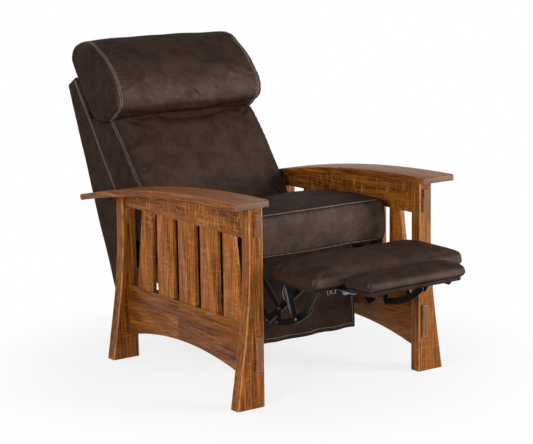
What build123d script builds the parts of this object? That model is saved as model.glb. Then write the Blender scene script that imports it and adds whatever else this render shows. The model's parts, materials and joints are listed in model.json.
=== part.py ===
"""A mission recliner: oak side frames, a padded seat and back, and a fold-out footrest.

Y runs from the front of the chair to its rear, X to the sitter's left, Z up from the floor.
The origin is on the floor in the middle of the chair's depth. The chair is drawn with the
footrest out and the back upright, so side views are given as (distance behind the front
faces of the front legs, height above the floor).
"""
import os
from math import atan2, cos, degrees, hypot, radians, sin, tan

from build123d import *

os.makedirs("parts", exist_ok=True)

# The whole chair
front_to_origin = 429.2
side_inner = 308.0
frame_depth = 778.5
joint_gap = 0.2
soft_gap = 0.3
overrun = 60.0

# Legs
leg_thick = 40.6
leg_top_width = 50.0
leg_foot_width = 101.0
leg_flare_angle = 8.8
leg_flare_radius = 1950.0
leg_edge = 2.0

# Arms
arm_width = 125.0
arm_thick = 20.4
arm_inset = 5.0
arm_front_overhang = 26.5
arm_rear_overhang = 118.5
arm_crest_height = 645.6
arm_fall = 71.06
arm_heel_radius = 10.0
arm_edge = 2.5

# Side rails and their through tenons
rail_inset = 9.0
rail_thick = 27.0
top_rail_depth = 123.1
bottom_rail_top = 255.0
bottom_rail_end = 80.0
bottom_rail_arch = 47.5
tenon_thick = 23.0
tenon_proud = 8.0
tenon_chamfer = 2.5
lower_tenon_bottom = 115.0
lower_tenon_height = 109.0
upper_tenon_raise = 7.5
front_tenon_shoulder = 20.0
rear_tenon_shoulder = 8.0

# Slats
slat_thick = 16.0
slat_set_back = 4.0
slat_lead = 10.75
slat_width_share = 0.13337
slat_gap_share = 0.04905
end_slat_top_share = 0.08031
end_slat_bottom_share = 0.13911

# Stretchers and glide rails between the side frames
stretcher_thick = 25.0
stretcher_bottom = 160.0
stretcher_height = 90.0
front_stretcher_y = 360.0
rear_stretcher_reach = 178.5
glide_rail_width = 24.0
glide_rail_thick = 6.0
glide_rail_overhang = 20.0
glide_gap = 0.3

# Seat box
seat_y = 150.0
seat_z = 427.0
seat_pitch = 8.0
seat_depth = 505.0
box_half = 282.0
side_board_thick = 18.0
side_board_front = 34.0
side_board_front_drop = 82.0
side_board_clearance = 2.0
side_board_step = 190.0
front_rail_y = 190.0
seat_rail_thick = 18.0
seat_rail_drop = 85.0
rear_rail_drop = 60.0
notch_width = 46.0
notch_height = 70.0
runner_thick = 3.0
runner_foot = 24.0
runner_height = 44.0
runner_overhang = 22.0
webbing_width = 50.0
webbing_thick = 2.0
webbing_count = 4

# Seat cushion
cushion_half = 288.0
cushion_short = 15.0
cushion_thick = 129.0
cushion_crown = 34.0
cushion_end_crown = 12.0
cushion_bulge = 9.0
cushion_end_inset = 9.0

# Valance
valance_half = 187.0
valance_thick = 2.5
valance_top = 418.0
valance_bottom = 136.0
valance_hem_back = 5.0
valance_fold = 4.0
valance_folds = 5

# Back
back_foot_setback = 265.0
back_foot_z = 190.0
back_lean = 22.7
back_length = 755.0
back_top_rise = 8.0
back_top_depth = 67.0
back_foot_depth = 95.0
pad_lean = 36.2
pad_short = 115.0
skin_thick = 5.0
stile_inner = 260.4
stile_thick = 18.0
wing_gap = 0.3
wing_thick = 13.3
wing_round = 5.0
back_rail_thick = 20.0
back_rail_height = 60.0
lumbar_rail_rise = 150.0
back_strap_width = 50.0
back_strap_count = 5

# Back cushion: places up its side outline, each with its depth at the cushion's sides and middle
back_pad_half = 288.0
back_pad_start = 15.0
back_pad_tuck = 77.0
back_pad_depth = 167.0
back_pad_shares = {
    "foot": (0.000, 0.796, 0.898),
    "belly": (0.240, 0.814, 0.982),
    "waist": (0.468, 0.784, 1.000),
    "chest": (0.686, 0.743, 0.994),
    "head": (0.847, 0.695, 0.940),
    "ridge": (0.882, 0.539, 0.575),
    "top": (1.000, 0.084, 0.084),
}

# Headrest
headrest_half = 298.0
headrest_height = 338.0
headrest_depth = 198.0
headrest_below = 258.0
headrest_board_reach = 170.0
headrest_board_thick = 28.0
headrest_board_half = 276.0
headrest_end_share = 0.94
headrest_shares = {
    "rear_low": (0.210, 0.010),
    "rear_high": (0.911, 0.000),
    "crown_rear": (0.990, 0.116),
    "crown": (1.000, 0.318),
    "brow": (0.902, 0.641),
    "face_high": (0.734, 0.803),
    "face_middle": (0.500, 0.960),
    "face_low": (0.281, 1.000),
    "chin": (0.092, 0.949),
    "chin_low": (0.000, 0.818),
    "under": (0.040, 0.355),
}

# Recline hinge
recline_setback = 25.0
recline_z = 400.0
hinge_plate_thick = 3.0
hinge_plate_gap = 0.6
hinge_pin_radius = 6.0
hinge_head_radius = 10.0
hinge_eye_radius = 22.0
hinge_plate_reach = 60.0
hinge_plate_margin = 8.0
hinge_plate_spread = 50.0
pin_clearance = 0.05

# Footrest linkage, one set on each side of the chair
link_inner = 199.0
link_thick = 3.0
link_spacing = 6.0
link_end_radius = 11.0
link_pin_radius = 4.0
link_boss_radius = 8.0
link_boss_sides = 8
link_head_radius = 7.5
link_head_sides = 12
link_head_thick = 2.0
link_gap = 0.3
link_reach = 293.4
link_drop = 157.7
base_pivot_back = 18.8
base_pivot_drop = 35.5
mech_tab_width = 24.0
mech_tail_height = 50.0
mech_plate_depth = 62.0
pivot_shares = {
    "front_base": (0.0000, 0.0000),
    "rear_base": (-0.2325, -0.4769),
    "knee": (0.1632, -1.0000),
    "lift_eye": (0.7675, -0.1446),
    "cross": (0.3960, -0.6747),
    "toggle": (0.4005, -0.9410),
    "stay_foot": (0.7488, -0.7527),
    "stay_head": (0.6026, -0.0755),
    "toggle_tip": (0.9629, -0.4927),
}

# Ottoman
ottoman_front_y = -228.0
ottoman_depth = 213.0
ottoman_half = 295.0
ottoman_board_z = 388.0
board_thick = 12.0
ottoman_board_inset = 23.0
pad_edge = 34.0
ottoman_crown = 30.0
pad_nose = 10.0
pad_corner = 30.0
pad_end_edge = 34.0
pad_side_crown_share = 0.95
bracket_foot = 3.0
bracket_reach = 20.0
strap_lean_angle = 36.0
cross_tube_radius = 9.0
cross_tube_wall = 1.5

# Flipper
flipper_gap = 12.0
flipper_depth = 113.0
flipper_half = 190.0
flipper_board_inset = 9.0
flipper_edge = 30.0
flipper_crown = 13.0
flipper_axis_drop = 6.0
flipper_axis_lead = 4.0
leaf_thick = 3.0
leaf_length = 40.0
leaf_width = 34.0
leaf_outer = 184.0
knuckle_radius = 6.0
knuckle_pin_radius = 3.0
knuckle_width = 11.0
flipper_bracket_x = 140.0
flipper_bracket_drop = 10.5
flipper_bracket_length = 80.0
flipper_bracket_inset = 11.0


# Sizes that follow from the driving ones
arm_radius = (frame_depth**2 + arm_fall**2) / (2 * arm_fall)
arm_length = arm_front_overhang + frame_depth + arm_rear_overhang
top_rail_bottom = arm_crest_height - top_rail_depth
frame_bay = frame_depth - 2 * leg_thick
slat_width = slat_width_share * frame_bay
slat_gap = slat_gap_share * frame_bay
slats_middle = frame_depth / 2 - slat_lead
end_slat_top = end_slat_top_share * frame_bay
end_slat_bottom = end_slat_bottom_share * frame_bay
rear_stretcher_y = frame_depth - rear_stretcher_reach
side_board_bottom = stretcher_bottom + stretcher_height + side_board_clearance
runner_length = rear_stretcher_y - front_stretcher_y + runner_overhang
recline_y = seat_y + seat_depth + recline_setback
cushion_length = seat_depth - cushion_short
back_foot_y = seat_y + seat_depth + back_foot_setback
pad_length = back_length - pad_short
headrest_start = pad_length - headrest_below
headrest_board_start = pad_length - headrest_board_reach
back_pad_length = headrest_start + back_pad_tuck


def side(x):
    """Side view plane at x: along it are depth behind the front legs and height."""
    return Plane(origin=(x, -front_to_origin, 0), x_dir=(0, 1, 0), z_dir=(1, 0, 0))


def seat_view(x):
    """Side view plane tilted with the seat, from the cushion's lower front edge."""
    pitch = radians(seat_pitch)
    return Plane(
        origin=(x, seat_y - front_to_origin, seat_z),
        x_dir=(0, cos(pitch), -sin(pitch)),
        z_dir=(1, 0, 0),
    )


def plan(z):
    """Plan plane at height z, with depth measured from the front legs."""
    return Plane(origin=(0, -front_to_origin, z))


def seat_point(along, up):
    """Side view place of a point given along and square to the seat's deck."""
    pitch = radians(seat_pitch)
    return (seat_y + along * cos(pitch) + up * sin(pitch), seat_z - along * sin(pitch) + up * cos(pitch))


def back_point(up, forward):
    """Side view place of a point given along and square to the rear of the back."""
    lean = radians(back_lean)
    return (
        back_foot_y + up * sin(lean) - forward * cos(lean),
        back_foot_z + up * cos(lean) + forward * sin(lean),
    )


back_corner = back_point(back_length + back_top_rise, back_top_depth)


def pad_point(up, forward):
    """Side view place of a point along and square to the seam line of the back cushion."""
    lean = radians(pad_lean)
    low = up - pad_length
    return (
        back_corner[0] + low * sin(lean) - forward * cos(lean),
        back_corner[1] + low * cos(lean) + forward * sin(lean),
    )


def save(piece, label):
    """Label a finished piece and write it."""
    piece.label = label
    export_step(piece, f"parts/{label}.step")


def save_pair(left, label):
    """Write a piece of the sitter's left side and its mirror image on the right."""
    save(left, f"{label}_left")
    with BuildPart() as right:
        mirror(left, about=Plane.YZ)
    save(right.part, f"{label}_right")


def save_both(left, label):
    """Write a piece of the sitter's left side together with its mirror image."""
    with BuildPart() as both:
        add(left)
        mirror(left, about=Plane.YZ)
    save(both.part, label)


def arm_height(y, drop=0.0):
    """Height of the arm's curved top at depth y, or of a curve that lies drop below it."""
    radius = arm_radius - drop
    centre = arm_crest_height - arm_radius
    return centre + (radius * radius - y * y) ** 0.5


def polygon(points):
    """Closed face through a list of points, in the sketch that is open."""
    Polygon(*points, align=None)


def round_face(x, centre, radius):
    """Circle on a side view plane, about a place given in that view."""
    with BuildSketch(side(x)) as face:
        with Locations(centre):
            Circle(radius)
    return face.sketch


def sided_face(x, centre, radius, sides):
    """Many-sided face of a spacer or a rivet's head, about a place given in side view."""
    with BuildSketch(side(x)) as face:
        with Locations(centre):
            RegularPolygon(radius, sides)
    return face.sketch


def spacer_face(x, centre):
    """Face of a spacer between two links."""
    return sided_face(x, centre, link_boss_radius, link_boss_sides)


def head_face(x, centre):
    """Face of a rivet's head."""
    return sided_face(x, centre, link_head_radius, link_head_sides)


# Side frame: the space under the curved arm, which legs and top rails are cut to
under_front = -arm_front_overhang
under_rear = arm_length - arm_front_overhang
with BuildSketch(side(side_inner - overrun)) as under_arm:
    with BuildLine():
        top_front = (under_front, arm_height(under_front, arm_thick))
        top_rear = (under_rear, arm_height(under_rear, arm_thick))
        ThreePointArc(top_front, (frame_depth / 2, arm_height(frame_depth / 2, arm_thick)), top_rear)
        Polyline(top_rear, (under_rear, 0), (under_front, 0), top_front)
    make_face()

tenon_inner = side_inner + rail_inset + (rail_thick - tenon_thick) / 2
rear_leg_y = frame_depth - leg_thick
front_tenon_top = arm_height(leg_thick, arm_thick) - front_tenon_shoulder
rear_tenon_top = arm_height(frame_depth, arm_thick) - rear_tenon_shoulder
upper_tenon_bottom = top_rail_bottom + upper_tenon_raise


def leg(front_y, upper_tenon_top):
    """A flared leg with two mortises right through it."""
    flare_height = (leg_foot_width - leg_top_width) / tan(radians(leg_flare_angle))
    with BuildPart() as body:
        with BuildSketch(Plane(origin=(0, front_y - front_to_origin, 0), x_dir=(1, 0, 0), z_dir=(0, -1, 0))):
            with BuildLine():
                FilletPolyline(
                    (side_inner + leg_foot_width, 0),
                    (side_inner + leg_top_width, flare_height),
                    (side_inner + leg_top_width, arm_crest_height),
                    radius=leg_flare_radius,
                )
                Polyline(
                    (side_inner + leg_top_width, arm_crest_height),
                    (side_inner, arm_crest_height),
                    (side_inner, 0),
                    (side_inner + leg_foot_width, 0),
                )
            make_face()
        extrude(amount=-leg_thick)
        extrude(under_arm.sketch, amount=arm_width + overrun, mode=Mode.INTERSECT)
        uprights = body.edges().filter_by(lambda edge: abs(edge.tangent_at(0.5).Z) > 0.9)
        chamfer(uprights, length=leg_edge)
        with BuildSketch(side(tenon_inner - joint_gap)):
            middle_y = front_y + leg_thick / 2
            for low, high in (
                (lower_tenon_bottom, lower_tenon_bottom + lower_tenon_height),
                (upper_tenon_bottom, upper_tenon_top),
            ):
                with Locations((middle_y, (low + high) / 2)):
                    Rectangle(leg_thick + overrun, high - low + 2 * joint_gap)
        extrude(amount=tenon_thick + 2 * joint_gap, mode=Mode.SUBTRACT)
    return body.part


save_pair(leg(0, front_tenon_top), "front_leg")
save_pair(leg(rear_leg_y, rear_tenon_top), "rear_leg")

with BuildPart() as arm:
    with BuildSketch(side(side_inner - arm_inset)):
        with BuildLine():
            middle = (under_front + under_rear) / 2
            crest_front = (under_front, arm_height(under_front))
            crest_rear = (under_rear, arm_height(under_rear))
            ThreePointArc(crest_front, (middle, arm_height(middle)), crest_rear)
            Line(crest_rear, top_rear)
            ThreePointArc(top_rear, (middle, arm_height(middle, arm_thick)), top_front)
            Line(top_front, crest_front)
        make_face()
        heel = vertices().sort_by_distance(top_rear)[0]
        fillet(heel, radius=arm_heel_radius)
    extrude(amount=arm_width)
    top_face = arm.faces().filter_by(GeomType.CYLINDER).sort_by(SortBy.AREA)[-1]
    chamfer(top_face.edges(), length=arm_edge)
save_pair(arm.part, "arm")

rail_x = side_inner + rail_inset


def tenons(low, front_top, rear_top):
    """Through tenons of a rail, one in each leg, with eased ends that stand proud."""
    length = frame_depth + 2 * tenon_proud
    with BuildPart() as body:
        with BuildSketch(side(tenon_inner)):
            polygon(((-tenon_proud, low), (length - tenon_proud, low), (length - tenon_proud, rear_top),
                     (rear_leg_y, rear_top), (leg_thick, front_top), (-tenon_proud, front_top)))
        extrude(amount=tenon_thick)
        ends = body.faces().filter_by(Axis.Y)
        chamfer(ends.sort_by(Axis.Y)[0].edges(), length=tenon_chamfer)
        chamfer(body.faces().filter_by(Axis.Y).sort_by(Axis.Y)[-1].edges(), length=tenon_chamfer)
    return body.part


upper_tenons = tenons(upper_tenon_bottom, front_tenon_top, rear_tenon_top)
with BuildPart() as top_rail:
    with BuildSketch(side(rail_x)):
        with Locations((frame_depth / 2, (top_rail_bottom + arm_crest_height) / 2)):
            Rectangle(rear_leg_y - leg_thick - 2 * joint_gap, arm_crest_height - top_rail_bottom)
    extrude(amount=rail_thick)
    extrude(under_arm.sketch, amount=arm_width + overrun, mode=Mode.INTERSECT)
    add(upper_tenons)
save_pair(top_rail.part, "top_rail")

lower_tenon_top = lower_tenon_bottom + lower_tenon_height
lower_tenons = tenons(lower_tenon_bottom, lower_tenon_top, lower_tenon_top)
rail_front = leg_thick + joint_gap
rail_rear = rear_leg_y - joint_gap
with BuildPart() as bottom_rail:
    with BuildSketch(side(rail_x)):
        with BuildLine():
            ThreePointArc(
                (rail_front, bottom_rail_end),
                (frame_depth / 2, bottom_rail_end + bottom_rail_arch),
                (rail_rear, bottom_rail_end),
            )
            Polyline(
                (rail_rear, bottom_rail_end),
                (rail_rear, bottom_rail_top),
                (rail_front, bottom_rail_top),
                (rail_front, bottom_rail_end),
            )
        make_face()
    extrude(amount=rail_thick)
    add(lower_tenons)
    with BuildSketch(side(rail_x)):
        with BuildLine():
            ThreePointArc(
                (rail_front, bottom_rail_end),
                (frame_depth / 2, bottom_rail_end + bottom_rail_arch),
                (rail_rear, bottom_rail_end),
            )
            Polyline(
                (rail_rear, bottom_rail_end), (rail_rear, 0), (rail_front, 0), (rail_front, bottom_rail_end)
            )
        make_face()
    extrude(amount=rail_thick, mode=Mode.SUBTRACT)
save_pair(bottom_rail.part, "bottom_rail")

slat_pitch = slat_width + slat_gap
slat_x = rail_x + rail_thick - slat_set_back - slat_thick
with BuildPart() as slats:
    with BuildSketch(side(slat_x)):
        slat_z = (bottom_rail_top + top_rail_bottom) / 2
        slat_height = top_rail_bottom - bottom_rail_top
        with Locations([(slats_middle + step * slat_pitch, slat_z) for step in (-1, 0, 1)]):
            Rectangle(slat_width, slat_height)
        for way in (-1, 1):
            inner = slats_middle + way * (2 * slat_pitch - slat_width / 2)
            polygon(((inner, bottom_rail_top), (inner + way * end_slat_bottom, bottom_rail_top),
                     (inner + way * end_slat_top, top_rail_bottom), (inner, top_rail_bottom)))
    extrude(amount=slat_thick)
save_pair(slats.part, "slats")

# Stretchers and glide rails
stretcher_top = stretcher_bottom + stretcher_height
for label, y in (("front_stretcher", front_stretcher_y), ("rear_stretcher", rear_stretcher_y)):
    with BuildPart() as stretcher:
        with BuildSketch(side(-rail_x)):
            with Locations((y + stretcher_thick / 2, stretcher_bottom + stretcher_height / 2)):
                Rectangle(stretcher_thick, stretcher_height)
        extrude(amount=2 * rail_x)
    save(stretcher.part, label)

board_inner = box_half - side_board_thick
glide_x = board_inner - runner_thick / 2 - glide_rail_width
glide_front = front_stretcher_y - glide_rail_overhang
glide_rear = rear_stretcher_y + stretcher_thick + glide_rail_overhang
with BuildPart() as glide_rail:
    with BuildSketch(plan(stretcher_top)):
        with Locations((glide_x + glide_rail_width / 2, (glide_front + glide_rear) / 2)):
            Rectangle(glide_rail_width, glide_rear - glide_front)
    extrude(amount=glide_rail_thick)
    mirror(about=Plane.YZ)
save(glide_rail.part, "glide_rails")

# Seat box
deck_drop = soft_gap + webbing_thick


def deck_z(y):
    """Height at depth y of the slanting top of the seat box, under its webbing."""
    pitch = radians(seat_pitch)
    return seat_z - (y - seat_y) * tan(pitch) - deck_drop / cos(pitch)


with BuildPart() as seat_side:
    with BuildSketch(side(board_inner)):
        front_top = seat_point(side_board_front, -deck_drop)
        rear_top = seat_point(seat_depth, -deck_drop)
        polygon((
            front_top,
            rear_top,
            (rear_top[0], side_board_bottom),
            (front_top[0] + side_board_step, side_board_bottom),
            (front_top[0], front_top[1] - side_board_front_drop),
        ))
    extrude(amount=side_board_thick)
save_pair(seat_side.part, "seat_side_board")

plate_x = link_inner - link_spacing
with BuildPart() as front_rail:
    with BuildSketch(side(-board_inner)):
        rail_rear_y = front_rail_y + seat_rail_thick
        rail_low = deck_z(front_rail_y) - seat_rail_drop
        polygon(((front_rail_y, deck_z(front_rail_y)), (rail_rear_y, deck_z(rail_rear_y)),
                 (rail_rear_y, rail_low), (front_rail_y, rail_low)))
    extrude(amount=2 * board_inner)
    for way in (-1, 1):
        with BuildSketch(side(way * (plate_x + notch_width / 2) - notch_width / 2)):
            with Locations((front_rail_y + seat_rail_thick / 2, rail_low)):
                Rectangle(seat_rail_thick + overrun, 2 * notch_height)
        extrude(amount=notch_width, mode=Mode.SUBTRACT)
save(front_rail.part, "seat_front_rail")

# The rear rail ends against the hinge plates, which lie on the side boards
seat_plate_x = board_inner - hinge_plate_thick
rear_rail_rear = rear_top[0]
rear_rail_front = rear_rail_rear - seat_rail_thick
rear_rail_low = deck_z(rear_rail_rear) - rear_rail_drop
with BuildPart() as rear_rail:
    with BuildSketch(side(-seat_plate_x)):
        polygon(((rear_rail_front, deck_z(rear_rail_front)), (rear_rail_rear, deck_z(rear_rail_rear)),
                 (rear_rail_rear, rear_rail_low), (rear_rail_front, rear_rail_low)))
    extrude(amount=2 * seat_plate_x)
save(rear_rail.part, "seat_rear_rail")

webbing_pitch = 2 * board_inner / webbing_count
with BuildPart() as webbing:
    for step in range(webbing_count):
        x = (step + 0.5) * webbing_pitch - board_inner
        with BuildSketch(seat_view(x - webbing_width / 2)):
            with Locations(((side_board_front + seat_depth) / 2, -soft_gap - webbing_thick / 2)):
                Rectangle(seat_depth - side_board_front, webbing_thick)
        extrude(amount=webbing_width)
save(webbing.part, "seat_webbing")

runner_front = glide_front + glide_rail_overhang
runner_z = stretcher_top + glide_rail_thick + glide_gap
runner_rear = runner_front + runner_length - front_to_origin
with BuildPart() as runner:
    with BuildSketch(Plane(origin=(0, runner_rear, 0), x_dir=(1, 0, 0), z_dir=(0, -1, 0))):
        polygon((
            (board_inner - runner_foot, runner_z),
            (board_inner, runner_z),
            (board_inner, runner_z + runner_height),
            (board_inner - runner_thick, runner_z + runner_height),
            (board_inner - runner_thick, runner_z + runner_thick),
            (board_inner - runner_foot, runner_z + runner_thick),
        ))
    extrude(amount=runner_length)
    mirror(about=Plane.YZ)
save(runner.part, "seat_runners")


def cushion_section(x, start, end, edge, crown):
    """Side outline of the seat cushion: flat below, crowned above, with full upright ends."""
    shift = edge * tan(radians(seat_pitch))
    front_middle = (start - shift / 2 - cushion_bulge, edge / 2)
    rear_middle = (end - shift / 2 + cushion_bulge / 3, edge / 2)
    crown_middle = ((start + end) / 2 - shift, edge + crown)
    with BuildSketch(seat_view(x)) as section:
        with BuildLine():
            Line((start, 0), (end, 0))
            ThreePointArc((end, 0), rear_middle, (end - shift, edge))
            ThreePointArc((end - shift, edge), crown_middle, (start - shift, edge))
            ThreePointArc((start - shift, edge), front_middle, (start, 0))
        make_face()
    return section.sketch


cushion_shares = ((-1.0, 0.0), (-0.95, 0.5), (-0.5, 0.93), (0.5, 0.93), (0.95, 0.5), (1.0, 0.0))
seat_sections = []
for place, fullness in cushion_shares:
    inset = cushion_end_inset if fullness == 0 else 0
    crown = cushion_end_crown + fullness * (cushion_crown - cushion_end_crown)
    seat_sections.append(
        cushion_section(place * cushion_half, inset, cushion_length - inset, cushion_thick - inset, crown)
    )
with BuildPart() as seat_cushion:
    loft(sections=seat_sections, ruled=True)
save(seat_cushion.part, "seat_cushion")

# Valance: a leather drop that hangs from the front rail in soft folds


valance_count = 2 * valance_folds
valance_step = 2 * valance_half / valance_count
valance_height = valance_top - valance_bottom
valance_lean = valance_hem_back / valance_height
hem_y = front_rail_y - soft_gap - valance_thick - valance_fold + valance_lean * (rail_low - valance_bottom)
with BuildPart() as valance:
    with BuildSketch(plan(valance_bottom)) as band:
        with BuildLine():
            for face in (hem_y, hem_y + valance_thick):
                for index in range(valance_count):
                    start = index * valance_step - valance_half
                    wave = valance_fold if index % 2 else -valance_fold
                    middle = start + valance_step / 2
                    ThreePointArc((start, face), (middle, face + wave), (start + valance_step, face))
            Line((valance_half, hem_y), (valance_half, hem_y + valance_thick))
            Line((-valance_half, hem_y + valance_thick), (-valance_half, hem_y))
        make_face()
    extrude(band.sketch, amount=valance_height, dir=(0, -valance_lean, 1))
save(valance.part, "valance")

# Back frame and its covers
wing_inner = stile_inner + stile_thick + wing_gap
wing_outline = (
    back_point(0, 0),
    back_point(back_length, 0),
    pad_point(pad_length, -soft_gap),
    pad_point(0, -soft_gap),
    back_point(0, back_foot_depth),
)
with BuildPart() as wing:
    with BuildSketch(side(wing_inner)):
        polygon(wing_outline)
    extrude(amount=wing_thick)
    chamfer(wing.faces().sort_by(Axis.X)[-1].edges(), length=wing_round)
save_pair(wing.part, "back_wing")

stile_rear = skin_thick + soft_gap
with BuildPart() as stile:
    with BuildSketch(side(stile_inner)):
        polygon((
            back_point(stile_rear, stile_rear),
            back_point(back_length - stile_rear, stile_rear),
            pad_point(pad_length - stile_rear - webbing_thick, -webbing_thick),
            pad_point(0, -webbing_thick),
            back_point(stile_rear, back_foot_depth - stile_rear),
        ))
    extrude(amount=stile_thick)
save_pair(stile.part, "back_stile")

with BuildPart() as outer_back:
    with BuildSketch(side(-wing_inner + wing_gap)):
        polygon((
            back_point(0, 0),
            back_point(back_length, 0),
            pad_point(pad_length, -soft_gap),
            pad_point(pad_length - skin_thick, -soft_gap),
            back_point(back_length - skin_thick, skin_thick),
            back_point(0, skin_thick),
        ))
    extrude(amount=2 * (wing_inner - wing_gap))
save(outer_back.part, "outer_back_cover")


def back_rail(label, up, forward):
    """Board across the back between the stiles, with its lower rear edge at a place."""
    with BuildPart() as board:
        with BuildSketch(side(-stile_inner)):
            polygon((
                back_point(up, forward),
                back_point(up + back_rail_height, forward),
                back_point(up + back_rail_height, forward + back_rail_thick),
                back_point(up, forward + back_rail_thick),
            ))
        extrude(amount=2 * stile_inner)
    save(board.part, label)


back_rail("back_bottom_rail", stile_rear, stile_rear)
back_rail("back_top_rail", back_length - stile_rear - back_rail_height, stile_rear)
with BuildPart() as lumbar_rail:
    with BuildSketch(side(-stile_inner)):
        polygon((
            pad_point(0, -webbing_thick),
            pad_point(back_rail_height, -webbing_thick),
            pad_point(back_rail_height, -webbing_thick - back_rail_thick),
            pad_point(0, -webbing_thick - back_rail_thick),
        ))
    extrude(amount=2 * stile_inner)
save(lumbar_rail.part, "back_lumbar_rail")

stile_outer = stile_inner + stile_thick
strap_pitch = (headrest_board_start - back_rail_height) / back_strap_count
with BuildPart() as back_webbing:
    with BuildSketch(side(-stile_outer)):
        for step in range(back_strap_count):
            low = back_rail_height + step * strap_pitch
            polygon((
                pad_point(low, -webbing_thick),
                pad_point(low + back_strap_width, -webbing_thick),
                pad_point(low + back_strap_width, 0),
                pad_point(low, 0),
            ))
    extrude(amount=2 * stile_outer)
save(back_webbing.part, "back_webbing")


def back_pad_section(x, fullness, inset):
    """Side outline of the back cushion, from the seat up to the underside of the headrest."""

    def place(name):
        up, side_depth, middle_depth = back_pad_shares[name]
        depth = side_depth + fullness * (middle_depth - side_depth)
        return pad_point(up * back_pad_length - back_pad_start, depth * back_pad_depth - inset)

    rear_low = pad_point(-back_pad_start, soft_gap)
    rear_high = pad_point(back_pad_length - back_pad_start, soft_gap)
    with BuildSketch(side(x)) as section:
        with BuildLine():
            Polyline(place("top"), rear_high, rear_low, place("foot"))
            ThreePointArc(place("foot"), place("belly"), place("waist"))
            ThreePointArc(place("waist"), place("chest"), place("head"))
            ThreePointArc(place("head"), place("ridge"), place("top"))
        make_face()
    return section.sketch


back_sections = [
    back_pad_section(place * back_pad_half, fullness, cushion_end_inset if fullness == 0 else 0)
    for place, fullness in cushion_shares
]
with BuildPart() as back_cushion:
    loft(sections=back_sections, ruled=True)
save(back_cushion.part, "back_cushion")

headrest_low_m = headrest_board_thick - webbing_thick + soft_gap


def headrest_section(x, share):
    """Side outline of the headrest pillow, drawn in towards its middle by a share."""

    def place(name):
        up, forward = headrest_shares[name]
        up = 0.5 + (up - 0.5) * share
        forward = 0.5 + (forward - 0.5) * share if name not in ("rear_low", "rear_high") else (1 - share) / 2
        return pad_point(headrest_start + up * headrest_height, headrest_low_m + forward * headrest_depth)

    with BuildSketch(side(x)) as section:
        with BuildLine():
            Line(place("rear_low"), place("rear_high"))
            ThreePointArc(place("rear_high"), place("crown_rear"), place("crown"))
            ThreePointArc(place("crown"), place("brow"), place("face_high"))
            ThreePointArc(place("face_high"), place("face_middle"), place("face_low"))
            ThreePointArc(place("face_low"), place("chin"), place("chin_low"))
            ThreePointArc(place("chin_low"), place("under"), place("rear_low"))
        make_face()
    return section.sketch


headrest_sections = [
    headrest_section(place * headrest_half, headrest_end_share + (1 - headrest_end_share) * fullness)
    for place, fullness in cushion_shares
]
with BuildPart() as headrest:
    loft(sections=headrest_sections, ruled=True)
save(headrest.part, "headrest_pillow")

with BuildPart() as headrest_board:
    with BuildSketch(side(-headrest_board_half)):
        polygon((
            pad_point(headrest_board_start, -webbing_thick),
            pad_point(pad_length - stile_rear - webbing_thick, -webbing_thick),
            pad_point(pad_length - stile_rear - webbing_thick, headrest_board_thick - webbing_thick),
            pad_point(headrest_board_start, headrest_board_thick - webbing_thick),
        ))
    extrude(amount=2 * headrest_board_half)
save(headrest_board.part, "headrest_board")

# Recline hinges
back_plate_x = seat_plate_x - hinge_plate_gap - hinge_plate_thick
recline_pivot = (recline_y, recline_z)
eye_front = recline_y - hinge_eye_radius
plate_front = rear_rail_rear - hinge_plate_reach
plate_top = deck_z(rear_rail_rear) - hinge_plate_margin
plate_foot = runner_z + runner_height + hinge_plate_margin
with BuildPart() as seat_hinge:
    with BuildSketch(side(seat_plate_x)):
        with Locations(recline_pivot):
            Circle(hinge_eye_radius)
        polygon((
            (plate_front, plate_top),
            (plate_front, plate_foot),
            (rear_rail_rear, plate_foot),
            (recline_y + hinge_eye_radius, recline_z),
            (eye_front, recline_z),
            (eye_front, plate_top),
        ))
    extrude(amount=hinge_plate_thick)
    head_x = back_plate_x - link_gap - link_head_thick
    extrude(round_face(head_x, recline_pivot, hinge_pin_radius), amount=seat_plate_x - head_x)
    extrude(round_face(head_x, recline_pivot, hinge_head_radius), amount=link_head_thick)
save_both(seat_hinge.part, "seat_hinge_plates")

stile_foot = pad_point(0, -webbing_thick)
plate_high = stile_foot[1] - back_rail_thick
with BuildPart() as back_hinge:
    with BuildSketch(side(back_plate_x)):
        with Locations(recline_pivot):
            Circle(hinge_eye_radius)
        polygon((
            (recline_y, recline_z + hinge_eye_radius),
            (recline_y + hinge_eye_radius, recline_z),
            (stile_foot[0], plate_high),
            (stile_foot[0] + hinge_plate_spread, plate_high),
            (stile_foot[0] + hinge_plate_spread, recline_z - hinge_plate_spread),
            (recline_y, recline_z - hinge_eye_radius),
        ))
        with Locations(recline_pivot):
            Circle(hinge_pin_radius + pin_clearance, mode=Mode.SUBTRACT)
    extrude(amount=hinge_plate_thick)
save_both(back_hinge.part, "back_hinge_plates")

# Footrest linkage
front_base = (seat_y + base_pivot_back, seat_z - base_pivot_drop)


def pivot(name):
    """Side view place of a pivot, counted forwards and up from the front base pivot."""
    forward, up = pivot_shares[name]
    return (front_base[0] - forward * link_reach, front_base[1] + up * link_drop)


def layer(index):
    """Inner face of a link that lies in a given layer, counted outwards."""
    return link_inner + index * link_spacing


def bar(index, names, holes=()):
    """Outline of a flat steel link through its pivots, with round ends and holes at some of them."""
    with BuildSketch(side(layer(index))) as face:
        for first, second in zip(names, names[1:]):
            a, b = pivot(first), pivot(second)
            length = hypot(b[0] - a[0], b[1] - a[1])
            turn = degrees(atan2(b[1] - a[1], b[0] - a[0]))
            with Locations(Location(((a[0] + b[0]) / 2, (a[1] + b[1]) / 2), turn)):
                SlotCenterToCenter(length, 2 * link_end_radius)
        with Locations([pivot(name) for name in holes]):
            Circle(link_pin_radius + pin_clearance, mode=Mode.SUBTRACT)
    return face.sketch


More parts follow.
